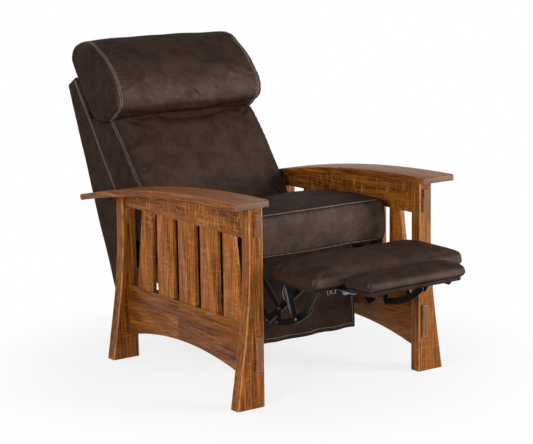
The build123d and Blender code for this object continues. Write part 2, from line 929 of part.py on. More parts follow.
def link(index, outline, pins=(), stops=(), studs=()):
    """A link with its own pins through the next layer, stop bosses towards it and studs on its face."""
    face = layer(index) + link_thick
    boss = link_spacing - link_thick - link_gap
    head_x = face + link_spacing + link_gap
    with BuildPart() as body:
        extrude(outline, amount=link_thick)
        for centre in pins:
            extrude(spacer_face(face, centre), amount=boss)
            extrude(round_face(face, centre, link_pin_radius), amount=head_x - face)
            extrude(head_face(head_x, centre), amount=link_head_thick)
        for centre in stops:
            extrude(spacer_face(face, centre), amount=boss)
        for centre in studs:
            extrude(head_face(face, centre), amount=link_head_thick)
    return body.part


knee, cross, toggle_pivot = pivot("knee"), pivot("cross"), pivot("toggle")
lift_eye, stay_head, stay_foot, toggle_tip = (
    pivot("lift_eye"), pivot("stay_head"), pivot("stay_foot"), pivot("toggle_tip")
)
save_both(link(0, bar(0, ("rear_base", "knee"), ("rear_base",)), pins=(knee,)), "rear_links")
save_both(link(1, bar(1, ("knee", "lift_eye"), ("knee", "lift_eye")), stops=(cross,)), "lift_links")
front_outline = bar(2, ("front_base", "cross", "toggle"), ("front_base",))
save_both(link(2, front_outline, pins=(toggle_pivot,), studs=(cross,)), "front_links")
with BuildSketch(side(layer(3))) as toggle_outline:
    with BuildLine(mode=Mode.PRIVATE):
        toggle_curve = ThreePointArc(toggle_pivot, stay_foot, toggle_tip)
    SlotArc(toggle_curve, 2 * link_end_radius)
    with Locations(toggle_pivot):
        Circle(link_pin_radius + pin_clearance, mode=Mode.SUBTRACT)
save_both(link(3, toggle_outline.sketch, stops=(stay_foot, toggle_tip)), "toggle_links")
save_both(link(4, bar(4, ("stay_foot", "stay_head")), pins=(stay_head,), studs=(stay_foot,)), "stay_links")

rear_base = pivot("rear_base")
plate_crest = front_base[1] + link_end_radius
plate_tail = rear_rail_low + mech_tail_height
with BuildPart() as mech_plate:
    with BuildSketch(side(plate_x)):
        with Locations(front_base, rear_base):
            Circle(link_end_radius)
        polygon((
            (front_base[0], plate_crest),
            (rear_base[0], plate_crest),
            (rear_rail_front, plate_tail),
            (rear_rail_front, rear_rail_low),
            (rear_base[0] + mech_plate_depth, rear_base[1] - link_end_radius),
            (rear_base[0], rear_base[1] - link_end_radius),
            (front_base[0], front_base[1] - link_end_radius),
        ))
    extrude(amount=link_thick)
    with BuildSketch(side(plate_x - mech_tab_width)):
        with Locations((rail_rear_y + link_thick / 2, rail_low + notch_height / 2)):
            Rectangle(link_thick, notch_height - 2 * link_end_radius)
        with Locations((rear_rail_front - link_thick / 2, rear_rail_low + mech_tail_height / 2)):
            Rectangle(link_thick, mech_tail_height)
    extrude(amount=mech_tab_width + link_thick)
    plate_face = plate_x + link_thick
    for centre, count in ((rear_base, 1), (front_base, 3)):
        head_x = plate_face + count * link_spacing + link_gap
        boss = count * link_spacing - link_thick - link_gap
        extrude(spacer_face(plate_face, centre), amount=boss)
        extrude(round_face(plate_face, centre, link_pin_radius), amount=head_x - plate_face)
        extrude(head_face(head_x, centre), amount=link_head_thick)
save_both(mech_plate.part, "mechanism_plates")

# Ottoman
board_top = ottoman_board_z + board_thick
board_front = ottoman_front_y + ottoman_board_inset
board_rear = ottoman_front_y + ottoman_depth - ottoman_board_inset
with BuildPart() as ottoman_board:
    with BuildSketch(plan(ottoman_board_z)):
        with Locations((0, (board_front + board_rear) / 2)):
            RectangleRounded(
                2 * (ottoman_half - ottoman_board_inset), board_rear - board_front, ottoman_board_inset
            )
    extrude(amount=board_thick)
save(ottoman_board.part, "ottoman_board")


def pad_outline(plane, middle, half, low, edge, crown):
    """Outline of a footrest pad seen along its length or its width: flat below, crowned above."""
    top = low + edge
    left = middle - half
    right = middle + half
    with BuildSketch(plane) as outline:
        with BuildLine():
            Line((left + pad_nose, low), (right - pad_nose, low))
            ThreePointArc((right - pad_nose, low), (right, low + edge / 2), (right - pad_nose, top))
            ThreePointArc((right - pad_nose, top), (middle, top + crown), (left + pad_nose, top))
            ThreePointArc((left + pad_nose, top), (left, low + edge / 2), (left + pad_nose, low))
        make_face()
    return outline.sketch


def foot_pad(label, half, rear, front, low, edge, crown, corner):
    """Crowned pad: what its outlines from the side, from the front and from above have in common."""
    middle = (rear + front) / 2
    depth = rear - front
    from_rear = Plane(origin=(0, rear - front_to_origin, 0), x_dir=(1, 0, 0), z_dir=(0, -1, 0))
    side_crown = crown * pad_side_crown_share
    end_crown = crown + edge - pad_end_edge
    with BuildPart() as pad:
        extrude(pad_outline(side(-half), middle, depth / 2, low, edge, side_crown), amount=2 * half)
        across = pad_outline(from_rear, 0, half, low, pad_end_edge, end_crown)
        extrude(across, amount=depth, mode=Mode.INTERSECT)
        with BuildSketch(plan(low)):
            with Locations((0, middle)):
                RectangleRounded(2 * half, depth, corner)
        extrude(amount=edge + crown, mode=Mode.INTERSECT)
    save(pad.part, label)


ottoman_rear_y = ottoman_front_y + ottoman_depth
foot_pad("ottoman_pad", ottoman_half, ottoman_rear_y, ottoman_front_y, board_top + soft_gap, pad_edge,
         ottoman_crown, pad_corner)

ear_inner = layer(0)
ear_outer = layer(5)
with BuildPart() as bracket:
    foot_z = ottoman_board_z - bracket_foot
    ear_front = lift_eye[0] - bracket_reach
    strap_rise = ottoman_board_z - toggle_tip[1]
    strap_turn = radians(strap_lean_angle)
    strap_middle = toggle_tip[0] - strap_rise * tan(strap_turn)
    strap_half = link_end_radius / cos(strap_turn)
    foot_front = strap_middle - strap_half
    with BuildSketch(plan(foot_z)):
        with Locations(((ear_inner + ear_outer + link_thick) / 2, (foot_front + board_rear) / 2)):
            Rectangle(ear_outer + link_thick - ear_inner, board_rear - foot_front)
    extrude(amount=bracket_foot)
    with BuildSketch(side(ear_inner)):
        with Locations(lift_eye):
            Circle(link_end_radius)
        with Locations((lift_eye[0], (lift_eye[1] + ottoman_board_z) / 2)):
            Rectangle(2 * link_end_radius, ottoman_board_z - lift_eye[1])
    extrude(amount=link_thick)
    with BuildSketch(side(ear_outer)):
        ear_low = stay_head[1] - link_end_radius
        with Locations(stay_head):
            Circle(link_end_radius)
        with Locations(((ear_front + stay_head[0]) / 2, (ear_low + ottoman_board_z) / 2)):
            Rectangle(stay_head[0] - ear_front, ottoman_board_z - ear_low)
        with Locations(toggle_tip):
            Circle(link_end_radius)
        across = (link_end_radius * cos(strap_turn), link_end_radius * sin(strap_turn))
        polygon((
            (toggle_tip[0] + across[0], toggle_tip[1] + across[1]),
            (strap_middle + strap_half, ottoman_board_z),
            (strap_middle - strap_half, ottoman_board_z),
            (toggle_tip[0] - across[0], toggle_tip[1] - across[1]),
        ))
        with Locations(stay_head):
            Circle(link_pin_radius + pin_clearance, mode=Mode.SUBTRACT)
    extrude(amount=link_thick)
    pin_face = ear_inner + link_thick
    head_x = pin_face + link_spacing + link_gap
    extrude(spacer_face(pin_face, lift_eye), amount=link_spacing - link_thick - link_gap)
    extrude(round_face(pin_face, lift_eye, link_pin_radius), amount=head_x - pin_face)
    extrude(head_face(head_x, lift_eye), amount=link_head_thick)
save_both(bracket.part, "ottoman_brackets")

with BuildPart() as cross_tube:
    with BuildSketch(side(-ear_inner)):
        with Locations(lift_eye):
            Circle(cross_tube_radius)
            Circle(cross_tube_radius - cross_tube_wall, mode=Mode.SUBTRACT)
    extrude(amount=2 * ear_inner)
save(cross_tube.part, "ottoman_cross_tube")

# Flipper and its two hinges
flipper_rear_y = ottoman_front_y - flipper_gap
flipper_front_y = flipper_rear_y - flipper_depth
with BuildPart() as flipper_board:
    with BuildSketch(plan(ottoman_board_z)):
        with Locations((0, (flipper_front_y + flipper_rear_y) / 2)):
            RectangleRounded(
                2 * (flipper_half - flipper_board_inset),
                flipper_depth - 2 * flipper_board_inset,
                flipper_board_inset,
            )
    extrude(amount=board_thick)
save(flipper_board.part, "flipper_board")
foot_pad("flipper_pad", flipper_half, flipper_rear_y, flipper_front_y, board_top + soft_gap, flipper_edge,
         flipper_crown, pad_corner * 0.6)

flipper_axis = (ottoman_front_y - flipper_axis_lead, ottoman_board_z - flipper_axis_drop)
knuckle_starts = [leaf_outer - leaf_width + step * (knuckle_width + link_gap) for step in range(3)]


def hinge_leaves(toward, outer_knuckles):
    """One leaf of each flipper hinge, under its board, with its share of the knuckles."""
    start = flipper_axis[0] + toward * knuckle_radius
    reach = knuckle_radius + leaf_length / 4
    with BuildPart() as leaves:
        with BuildSketch(plan(ottoman_board_z - leaf_thick)):
            with Locations((leaf_outer - leaf_width / 2, start + toward * (leaf_length / 2))):
                Rectangle(leaf_width, leaf_length)
        extrude(amount=leaf_thick)
        for index, x in enumerate(knuckle_starts):
            if (index != 1) == outer_knuckles:
                with BuildSketch(side(x)):
                    with Locations(flipper_axis):
                        Circle(knuckle_radius)
                    with Locations((flipper_axis[0] + toward * reach / 2, ottoman_board_z - leaf_thick / 2)):
                        Rectangle(reach, leaf_thick)
                    if not outer_knuckles:
                        with Locations(flipper_axis):
                            Circle(knuckle_pin_radius + pin_clearance, mode=Mode.SUBTRACT)
                extrude(amount=knuckle_width)
        if outer_knuckles:
            pin = round_face(knuckle_starts[0], flipper_axis, knuckle_pin_radius)
            extrude(pin, amount=knuckle_starts[2] + knuckle_width - knuckle_starts[0])
        mirror(about=Plane.YZ)
    return leaves.part


save(hinge_leaves(1, True), "ottoman_hinge_leaves")
save(hinge_leaves(-1, False), "flipper_hinge_leaves")

with BuildPart() as flipper_bracket:
    with BuildSketch(side(flipper_bracket_x)):
        front = flipper_front_y + flipper_bracket_inset
        low = ottoman_board_z - flipper_bracket_drop
        polygon((
            (front, ottoman_board_z),
            (front + flipper_bracket_length, ottoman_board_z),
            (front + flipper_bracket_length - flipper_bracket_drop, low),
            (front + flipper_bracket_drop, low),
        ))
    extrude(amount=leaf_thick)
save_both(flipper_bracket.part, "flipper_brackets")
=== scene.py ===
"""Finishes and soft parts of an oak recliner with a leather seat, back and fold-out footrest.

Lengths are in metres. Depth is counted from the front faces of the front legs towards the rear,
X runs to the sitter's left and Z up from the floor.
"""

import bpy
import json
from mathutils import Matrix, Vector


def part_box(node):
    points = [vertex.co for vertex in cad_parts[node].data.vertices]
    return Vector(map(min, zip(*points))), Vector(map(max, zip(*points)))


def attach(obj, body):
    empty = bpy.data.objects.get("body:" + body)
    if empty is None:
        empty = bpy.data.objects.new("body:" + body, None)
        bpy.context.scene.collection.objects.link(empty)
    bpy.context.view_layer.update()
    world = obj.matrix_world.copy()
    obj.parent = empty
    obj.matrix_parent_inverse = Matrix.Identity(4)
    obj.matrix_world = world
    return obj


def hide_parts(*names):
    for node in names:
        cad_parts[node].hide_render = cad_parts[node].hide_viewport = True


bl_info = {
    "name": "Oak recliner",
    "version": (1, 0, 0),
    "blender": (4, 5, 0),
    "location": "View3D > Sidebar > Recliner",
    "description": "Dresses the packed frame of an oak recliner in wood, leather and steel",
    "category": "Object",
}

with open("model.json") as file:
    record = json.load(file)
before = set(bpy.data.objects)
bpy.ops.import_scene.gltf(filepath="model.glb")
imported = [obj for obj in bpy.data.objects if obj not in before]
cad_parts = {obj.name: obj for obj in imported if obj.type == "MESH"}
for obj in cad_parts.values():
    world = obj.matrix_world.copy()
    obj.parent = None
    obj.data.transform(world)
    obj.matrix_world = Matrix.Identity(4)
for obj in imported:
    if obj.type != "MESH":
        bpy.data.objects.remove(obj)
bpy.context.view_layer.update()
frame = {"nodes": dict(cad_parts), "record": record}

import json
from math import cos, pi, radians, sin, tan

import bpy
import numpy as np
from bpy.props import FloatProperty, FloatVectorProperty, PointerProperty
from mathutils import Matrix, Vector, kdtree, noise
from mathutils.bvhtree import BVHTree

# Depth of the frame's origin behind the front faces of the front legs
front_to_origin = 0.4292
# Lower front edge of the seat cushion, depth and height, and the slope of the seat's deck
seat_corner = (0.150, 0.427)
seat_pitch = radians(8.0)
# Foot of the seam line of the back, depth and height, and its lean from upright
back_corner = (0.7746, 0.4033)
pad_lean = radians(36.2)
cushion_half = 0.288
# How far the covers may reach sideways, and how close to the plane of the back's seam line
seat_cover_half = 0.304
back_cover_half = 0.296
headrest_cover_half = 0.303
headrest_rear = 0.0265
# Pivots of the footrest's linkage: depth and height
pivots = {
    "rear_base": (0.2370, 0.3163),
    "front_base": (0.1688, 0.3915),
    "knee": (0.1209, 0.2338),
    "lift_eye": (-0.0564, 0.3687),
    "cross": (0.0526, 0.2851),
    "toggle": (0.0513, 0.2431),
    "stay_foot": (-0.0509, 0.2728),
    "stay_head": (-0.0080, 0.3796),
    "toggle_tip": (-0.1137, 0.3138),
}
linkage = (
    "rear_links", "lift_links", "front_links", "toggle_links", "stay_links",
    "ottoman_brackets", "mechanism_plates",
)
# Boards under a cover, with their bodies, and those of them that are in leather
upholstered = {
    "seat_side_board_left": "seat",
    "seat_side_board_right": "seat",
    "seat_front_rail": "seat",
    "back_stile_left": "back",
    "back_stile_right": "back",
    "back_top_rail": "back",
    "headrest_board": "back",
    "ottoman_board": "ottoman",
    "flipper_board": "flipper",
}
leathered = ("seat_front_rail", "ottoman_board", "flipper_board")
# Oak nodes by the axis of their grain
oak_nodes = {
    "y": (
        "arm_left", "arm_right", "top_rail_left", "top_rail_right",
        "bottom_rail_left", "bottom_rail_right",
    ),
    "z": (
        "front_leg_left", "front_leg_right", "rear_leg_left", "rear_leg_right",
        "slats_left", "slats_right",
    ),
    "x": ("front_stretcher", "rear_stretcher"),
}


# Places


def at(x, depth, height):
    """Point at a distance behind the front legs and a height above the floor."""
    return Vector((x, depth - front_to_origin, height))


def on_seat(x, along, up):
    """Point given along and square to the seat's deck, from the cushion's lower front edge."""
    c, s = cos(seat_pitch), sin(seat_pitch)
    return at(x, seat_corner[0] + along * c + up * s, seat_corner[1] - along * s + up * c)


def on_back(x, up, forward):
    """Point given along and square to the seam line of the back."""
    c, s = cos(pad_lean), sin(pad_lean)
    return at(x, back_corner[0] + up * s - forward * c, back_corner[1] + up * c + forward * s)


def smooth_line(points, step=0.005, closed=False):
    """Evenly spaced points on a smooth curve through the given ones."""
    points = [np.array(p, float) for p in points]
    count = len(points)
    out = []
    for i in range(count if closed else count - 1):
        a, b = points[i], points[(i + 1) % count]
        before = points[i - 1] if i or closed else 2 * a - b
        after = points[(i + 2) % count] if i + 2 < count or closed else 2 * b - a
        pieces = max(1, int(np.linalg.norm(b - a) / step))
        for k in range(pieces):
            t = k / pieces
            out.append(
                0.5
                * (
                    2 * a
                    + (b - before) * t
                    + (2 * before - 5 * a + 4 * b - after) * t * t
                    + (3 * a - before - 3 * b + after) * t**3
                )
            )
    if not closed:
        out.append(points[-1])
    return [Vector(p) for p in out]


def ring(half_x, half_y, radius, steps=6):
    """Corners of a level rounded rectangle about the origin, as (x, y) pairs."""
    out = []
    for sx, sy, turn in ((1, 1, 0), (-1, 1, 90), (-1, -1, 180), (1, -1, 270)):
        for k in range(steps + 1):
            angle = radians(turn + 90 * k / steps)
            x = sx * (half_x - radius) + radius * cos(angle)
            y = sy * (half_y - radius) + radius * sin(angle)
            out.append((x, y))
    return out


# Selecting and shaping


def deselect():
    """Select nothing."""
    bpy.ops.object.select_all(action="DESELECT")


def only(piece):
    """Select one piece alone and make it the active one."""
    deselect()
    piece.select_set(True)
    bpy.context.view_layer.objects.active = piece


def edit(piece, *steps):
    """Run edit mode steps on the whole of a piece."""
    only(piece)
    bpy.ops.object.mode_set(mode="EDIT")
    bpy.ops.mesh.select_all(action="SELECT")
    for step in steps:
        step()
    bpy.ops.object.mode_set(mode="OBJECT")


def apply_modifier(piece, kind, **settings):
    """Add a modifier with these settings and apply it."""
    only(piece)
    bpy.ops.object.modifier_add(type=kind)
    modifier = piece.modifiers[-1]
    for name, value in settings.items():
        setattr(modifier, name, value)
    bpy.ops.object.modifier_apply(modifier=modifier.name)


def copy_of(node, name):
    """A loose copy of a CAD node's mesh with its doubled corners merged."""
    source = frame["nodes"][node]
    piece = bpy.data.objects.new(name, source.data.copy())
    bpy.context.collection.objects.link(piece)
    piece.data.materials.clear()
    edit(piece, lambda: bpy.ops.mesh.remove_doubles(threshold=0.00001))
    bpy.ops.mesh.customdata_custom_splitnormals_clear()
    return piece


def corners(piece):
    """Places of a piece's vertices as an array."""
    co = np.empty(len(piece.data.vertices) * 3)
    piece.data.vertices.foreach_get("co", co)
    return co.reshape(-1, 3)


def normals(piece):
    """Directions of a piece's vertices as an array."""
    no = np.empty(len(piece.data.vertices) * 3)
    piece.data.vertices.foreach_get("normal", no)
    return no.reshape(-1, 3)


def move_to(piece, co):
    """Give a piece's vertices new places."""
    piece.data.vertices.foreach_set("co", np.ascontiguousarray(co).ravel())
    piece.data.update()


def nearest(line, co):
    """Distance to, and index of, the nearest point of a line for each of many places."""
    tree = kdtree.KDTree(len(line))
    for index, point in enumerate(line):
        tree.insert(point, index)
    tree.balance()
    found = [tree.find(p) for p in co]
    return np.array([f[2] for f in found]), np.array([f[1] for f in found])


def surface_of(piece):
    """A piece's faces as a tree that can be asked for the nearest place."""
    return BVHTree.FromObject(piece, bpy.context.evaluated_depsgraph_get())


def laid_on(surface, line, lift=0.0, shift=0.0):
    """A line moved onto a surface, raised by lift and shifted sideways by shift."""
    out = []
    for index, point in enumerate(line):
        ahead = line[min(index + 1, len(line) - 1)] - line[max(index - 1, 0)]
        hit, normal, _, _ = surface.find_nearest(point)
        if shift:
            hit, normal, _, _ = surface.find_nearest(hit + normal.cross(ahead).normalized() * shift)
        out.append(hit + normal * lift)
    return out


def press(piece, line, width, depth):
    """Press a line into a piece as a soft groove."""
    co, no = corners(piece), normals(piece)
    distance, _ = nearest(line, co)
    share = np.clip(1 - distance / width, 0, 1)
    move_to(piece, co - no * (depth * share * share * (3 - 2 * share))[:, None])


def pucker(piece, line, spacing, reach, depth, seed):
    """Gather a cover along a line in small folds that fade away from it."""
    flat_at_seam = 0.004
    co, no = corners(piece), normals(piece)
    distance, index = nearest(line, co)
    run = np.concatenate([[0], np.cumsum([(b - a).length for a, b in zip(line, line[1:])])])
    place = run[index]
    near = np.nonzero(distance < 3 * reach)[0]
    offset = np.zeros(len(co))
    for i in near:
        wander = noise.noise(Vector((place[i] * 14, seed, 0.3)))
        strength = 0.5 + 0.9 * noise.noise(Vector((place[i] * 9, seed + 7, 1.7)))
        wave = sin(2 * pi * (place[i] / spacing + 0.8 * wander))
        fading = np.exp(-((distance[i] / reach) ** 2)) * min(1.0, distance[i] / flat_at_seam)
        offset[i] = max(0.0, strength) * wave * fading
    move_to(piece, co + no * (depth * offset)[:, None])


def ripple(piece, size, depth, seed):
    """Uneven, wide and shallow swells over a whole cover."""
    co, no = corners(piece), normals(piece)
    start = Vector((seed * 3.1, seed * 1.7, seed * 0.9))
    swell = np.array([noise.noise(Vector(p) / size + start) for p in co])
    move_to(piece, co + no * (depth * swell)[:, None])


def fold(piece, start, end, width, depth):
    """One soft crease between two places, deepest in its middle."""
    line = smooth_line([start, end], 0.004)
    co, no = corners(piece), normals(piece)
    distance, index = nearest(line, co)
    along = np.sin(np.clip(index / (len(line) - 1), 0, 1) * pi)
    groove = np.exp(-((distance / width) ** 2)) - 0.45 * np.exp(-(((distance - 1.6 * width) / width) ** 2))
    move_to(piece, co - no * (depth * along * groove)[:, None])


def line_tool(name, line, closed=False):
    """A curve object that follows a line."""
    deselect()
    bpy.ops.curve.primitive_nurbs_path_add(location=(0, 0, 0))
    path = bpy.context.object
    path.name = name
    path.data.splines.clear()
    spline = path.data.splines.new("POLY")
    spline.points.add(len(line) - 1)
    for point, place in zip(spline.points, line):
        point.co = (*place, 1)
    spline.use_cyclic_u = closed
    return path


def finish_piece(piece, body, slot, *replaced):
    """Tie a finished piece to its body and hide the CAD nodes that it stands for. The slot is not used."""
    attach(piece, body)
    if replaced:
        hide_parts(*replaced)


def tube(name, line, radius, kind, closed=False, roundness=2):
    """A round bead or wire along a line, in a kind of finish."""
    path = line_tool(name, line, closed)
    path.data.bevel_depth = radius
    path.data.bevel_resolution = roundness
    path.data.use_fill_caps = not closed
    only(path)
    bpy.ops.object.convert(target="MESH")
    piece = bpy.context.object
    dress(piece, kind)
    shade_smooth(piece)
    return piece


def stitches(name, line):
    """A row of separate stitches along a line."""
    sizes = bpy.context.scene.recliner_leather
    pitch = sizes.stitch_length * 1.45
    path = line_tool(name + "_line", line)
    deselect()
    bpy.ops.mesh.primitive_uv_sphere_add(segments=6, ring_count=4, radius=1, location=(0, 0, 0))
    piece = bpy.context.object
    piece.name = name
    half = sizes.stitch_length / 2
    edit(
        piece,
        lambda: bpy.ops.transform.resize(
            value=(half, sizes.thread_radius, sizes.thread_radius), center_override=(0, 0, 0)
        ),
        lambda: bpy.ops.transform.translate(value=(half, 0, 0)),
    )
    apply_modifier(
        piece, "ARRAY", fit_type="FIT_CURVE", curve=path, use_relative_offset=False,
        use_constant_offset=True, constant_offset_displace=(pitch, 0, 0),
    )
    apply_modifier(piece, "CURVE", object=path, deform_axis="POS_X")
    bpy.data.objects.remove(path)
    dress(piece, "thread")
    shade_smooth(piece)
    return piece


def join(name, pieces):
    """Join small pieces into one."""
    deselect()
    for piece in pieces:
        piece.select_set(True)
    bpy.context.view_layer.objects.active = pieces[0]
    if len(pieces) > 1:
        bpy.ops.object.join()
    pieces[0].name = name
    return pieces[0]


# Finishes


def dress(piece, *names):
    """Give a piece these finishes and no others."""
    piece.data.materials.clear()
    for name in names:
        piece.data.materials.append(finish(name))


def shade_smooth(piece, sharp=None):
    """Shade a piece smoothly, apart from edges above a sharp angle in degrees, if one is given."""
    only(piece)
    if sharp is None:
        bpy.ops.object.shade_smooth()
    else:
        bpy.ops.object.shade_smooth_by_angle(angle=radians(sharp))


def linear(red, green, blue):
    """Scene colour of a colour given as it shows, from 0 to 255."""
    shown = [part / 255 for part in (red, green, blue)]
    return tuple(c / 12.92 if c <= 0.04045 else ((c + 0.055) / 1.055) ** 2.4 for c in shown) + (1.0,)


class Shading:
    """The nodes of a material or a world, made one at a time."""

    def __init__(self, tree):
        self.tree = tree

    def node(self, kind, inputs=None, **settings):
        made = self.tree.nodes.new(kind)
        for name, value in settings.items():
            setattr(made, name, value)
        for name, value in (inputs or {}).items():
            self.put(made.inputs[name], value)
        return made

    def put(self, socket, value):
        if isinstance(value, bpy.types.NodeSocket):
            self.tree.links.new(value, socket)
        else:
            socket.default_value = value

    def noise(self, vector, scale=1.0, detail=4.0, roughness=0.55, distortion=0.0):
        return self.node(
            "ShaderNodeTexNoise",
            {
                "Vector": vector, "Scale": scale, "Detail": detail, "Roughness": roughness,
                "Distortion": distortion,
            },
        ).outputs["Fac"]

    def ramp(self, value, low, high, to_low=0.0, to_high=1.0, smooth=True):
        return self.node(
            "ShaderNodeMapRange",
            {"Value": value, "From Min": low, "From Max": high, "To Min": to_low, "To Max": to_high},
            interpolation_type="SMOOTHSTEP" if smooth else "LINEAR",
        ).outputs["Result"]

    def maths(self, operation, first, second):
        made = self.node("ShaderNodeMath", operation=operation)
        for socket, value in zip(made.inputs, (first, second)):
            self.put(socket, value)
        return made.outputs[0]

    def mix(self, share, first, second, blend="MIX"):
        made = self.node("ShaderNodeMix", data_type="RGBA", blend_type=blend)
        self.put(made.inputs[0], share)
        self.put(made.inputs[6], first)
        self.put(made.inputs[7], second)
        return made.outputs[2]

    def bump(self, height, strength, distance, normal=None):
        inputs = {"Height": height, "Strength": strength, "Distance": distance}
        if normal is not None:
            inputs["Normal"] = normal
        return self.node("ShaderNodeBump", inputs).outputs["Normal"]

    def seen_rays(self):
        """1 for rays from the camera, off gloss or through glass, which see the white background."""
        rays = self.node("ShaderNodeLightPath").outputs
        total = rays["Is Camera Ray"]
        for name in ("Is Glossy Ray", "Is Transmission Ray"):
            total = self.maths("MAXIMUM", total, rays[name])
        return total


class Finish(Shading):
    """A material whose patterns follow Object coordinates."""

    def __init__(self, name):
        self.material = bpy.data.materials.new(name)
        self.material.use_nodes = True
        super().__init__(self.material.node_tree)
        self.shader = self.tree.nodes["Principled BSDF"]
        self.object = self.node("ShaderNodeTexCoord").outputs["Object"]

    def scaled(self, scale, source=None, location=(0, 0, 0)):
        """Object places stretched by a scale along each axis."""
        return self.node(
            "ShaderNodeMapping", {"Vector": source or self.object, "Scale": scale, "Location": location}
        ).outputs["Vector"]

    def shaded(self, **inputs):
        """Fill in the shader's inputs, named with _ for a space, and give the material."""
        for name, value in inputs.items():
            self.put(self.shader.inputs[name.replace("_", " ")], value)
        return self.material


made_finishes = {}


def finish(name):
    """A finish by its name, made when it is first asked for."""
    if name not in made_finishes:
        made_finishes[name] = recipes[name](name)
    return made_finishes[name]


def oak(name, grain, flecks, board, worn=0.0, dark=1.0, figured=0.45, waves=1.3):
    """Quarter-sawn oak with its grain along an axis, ray flecks, and a change of tone at each board."""
    sizes = bpy.context.scene.recliner_oak
    f = Finish(name)
    axis = "xyz".index(grain)

    def along(run, across):
        return tuple(run if i == axis else across for i in range(3))

    divided = f.node(
        "ShaderNodeVectorMath", {0: f.object, 1: tuple(1 / b for b in board)}, operation="MULTIPLY"
    ).outputs[0]
    boards = f.node("ShaderNodeVectorMath", {0: divided}, operation="FLOOR").outputs[0]
    random = f.node("ShaderNodeTexWhiteNoise", {"Vector": boards}, noise_dimensions="3D")
    moved = f.node(
        "ShaderNodeVectorMath", {0: random.outputs["Color"], 1: (5.3, 5.3, 5.3), 2: f.object},
        operation="MULTIPLY_ADD",
    ).outputs[0]
    streaks = f.noise(f.scaled(along(9, 300), moved), 1, 6, 0.7, 0.2)
    figure = f.noise(f.scaled(along(2.2, 20), moved), 1, 4, 0.55, 1.6)
    lines = f.node(
        "ShaderNodeTexWave",
        {
            "Vector": f.scaled(along(waves, 26), moved), "Scale": 1.6, "Distortion": 7.0,
            "Detail": 3.0, "Detail Scale": 1.4,
        },
        bands_direction="DIAGONAL",
    ).outputs["Fac"]
    pores = f.ramp(f.noise(f.scaled(along(38, 900), moved), 1, 2, 0.5), 0.60, 0.72)
    rays = f.ramp(f.noise(f.scaled(along(150, 26), moved), 1, 2.5, 0.5, 0.9), 0.54, 0.64)
    patches = f.ramp(f.noise(f.scaled((14, 14, 14), moved), 1, 3), 0.34, 0.60, 0.25, 1.0)
    rays = f.maths("MULTIPLY", f.maths("MULTIPLY", rays, patches), flecks)
    grainy = f.maths("ADD", f.maths("MULTIPLY", streaks, 0.68), f.maths("MULTIPLY", figure, 0.32))
    base = f.mix(f.ramp(grainy, 0.40, 0.52), sizes.dark, sizes.middle)
    base = f.mix(f.ramp(grainy, 0.50, 0.66), base, sizes.light)
    base = f.mix(f.ramp(lines, 0.60, 0.95, 0.0, figured), base, sizes.dark)
    base = f.mix(rays, base, sizes.fleck)
    base = f.mix(f.maths("MULTIPLY", pores, 0.6), base, sizes.pore)
    tone = f.ramp(random.outputs["Value"], 0, 1, 0.86 * dark, 1.12 * dark, smooth=False)
    shade = f.node("ShaderNodeCombineColor", {"Red": tone, "Green": tone, "Blue": tone}).outputs[0]
    base = f.mix(1.0, base, shade, "MULTIPLY")
    if worn:
        uneven = f.noise(f.scaled((28, 28, 28)), 1, 4)
        base = f.mix(f.ramp(uneven, 0.3, 0.65, worn * 0.25, worn), base, sizes.edge)
    height = f.maths("SUBTRACT", f.maths("MULTIPLY", streaks, 0.6), pores)
    return f.shaded(
        Base_Color=base, Roughness=f.ramp(streaks, 0.3, 0.7, 0.52, 0.38), Specular_IOR_Level=0.14,
        Normal=f.bump(height, 0.3, 0.0005),
    )


def end_grain(name, low=linear(84, 57, 38), high=linear(120, 88, 64)):
    """Cut ends of oak boards."""
    sizes = bpy.context.scene.recliner_oak
    f = Finish(name)
    rings = f.node(
        "ShaderNodeTexWave",
        {"Vector": f.scaled((30, 30, 42)), "Scale": 3.0, "Distortion": 4.0, "Detail": 3.0},
        bands_direction="DIAGONAL",
    ).outputs["Fac"]
    specks = f.noise(f.scaled((900, 900, 900)), 1, 2)
    base = f.mix(f.ramp(rings, 0.2, 0.9), low, high)
    base = f.mix(f.ramp(specks, 0.5, 0.7, 0, 0.5), base, sizes.pore)
    return f.shaded(Base_Color=base, Roughness=0.62, Normal=f.bump(specks, 0.3, 0.0005))


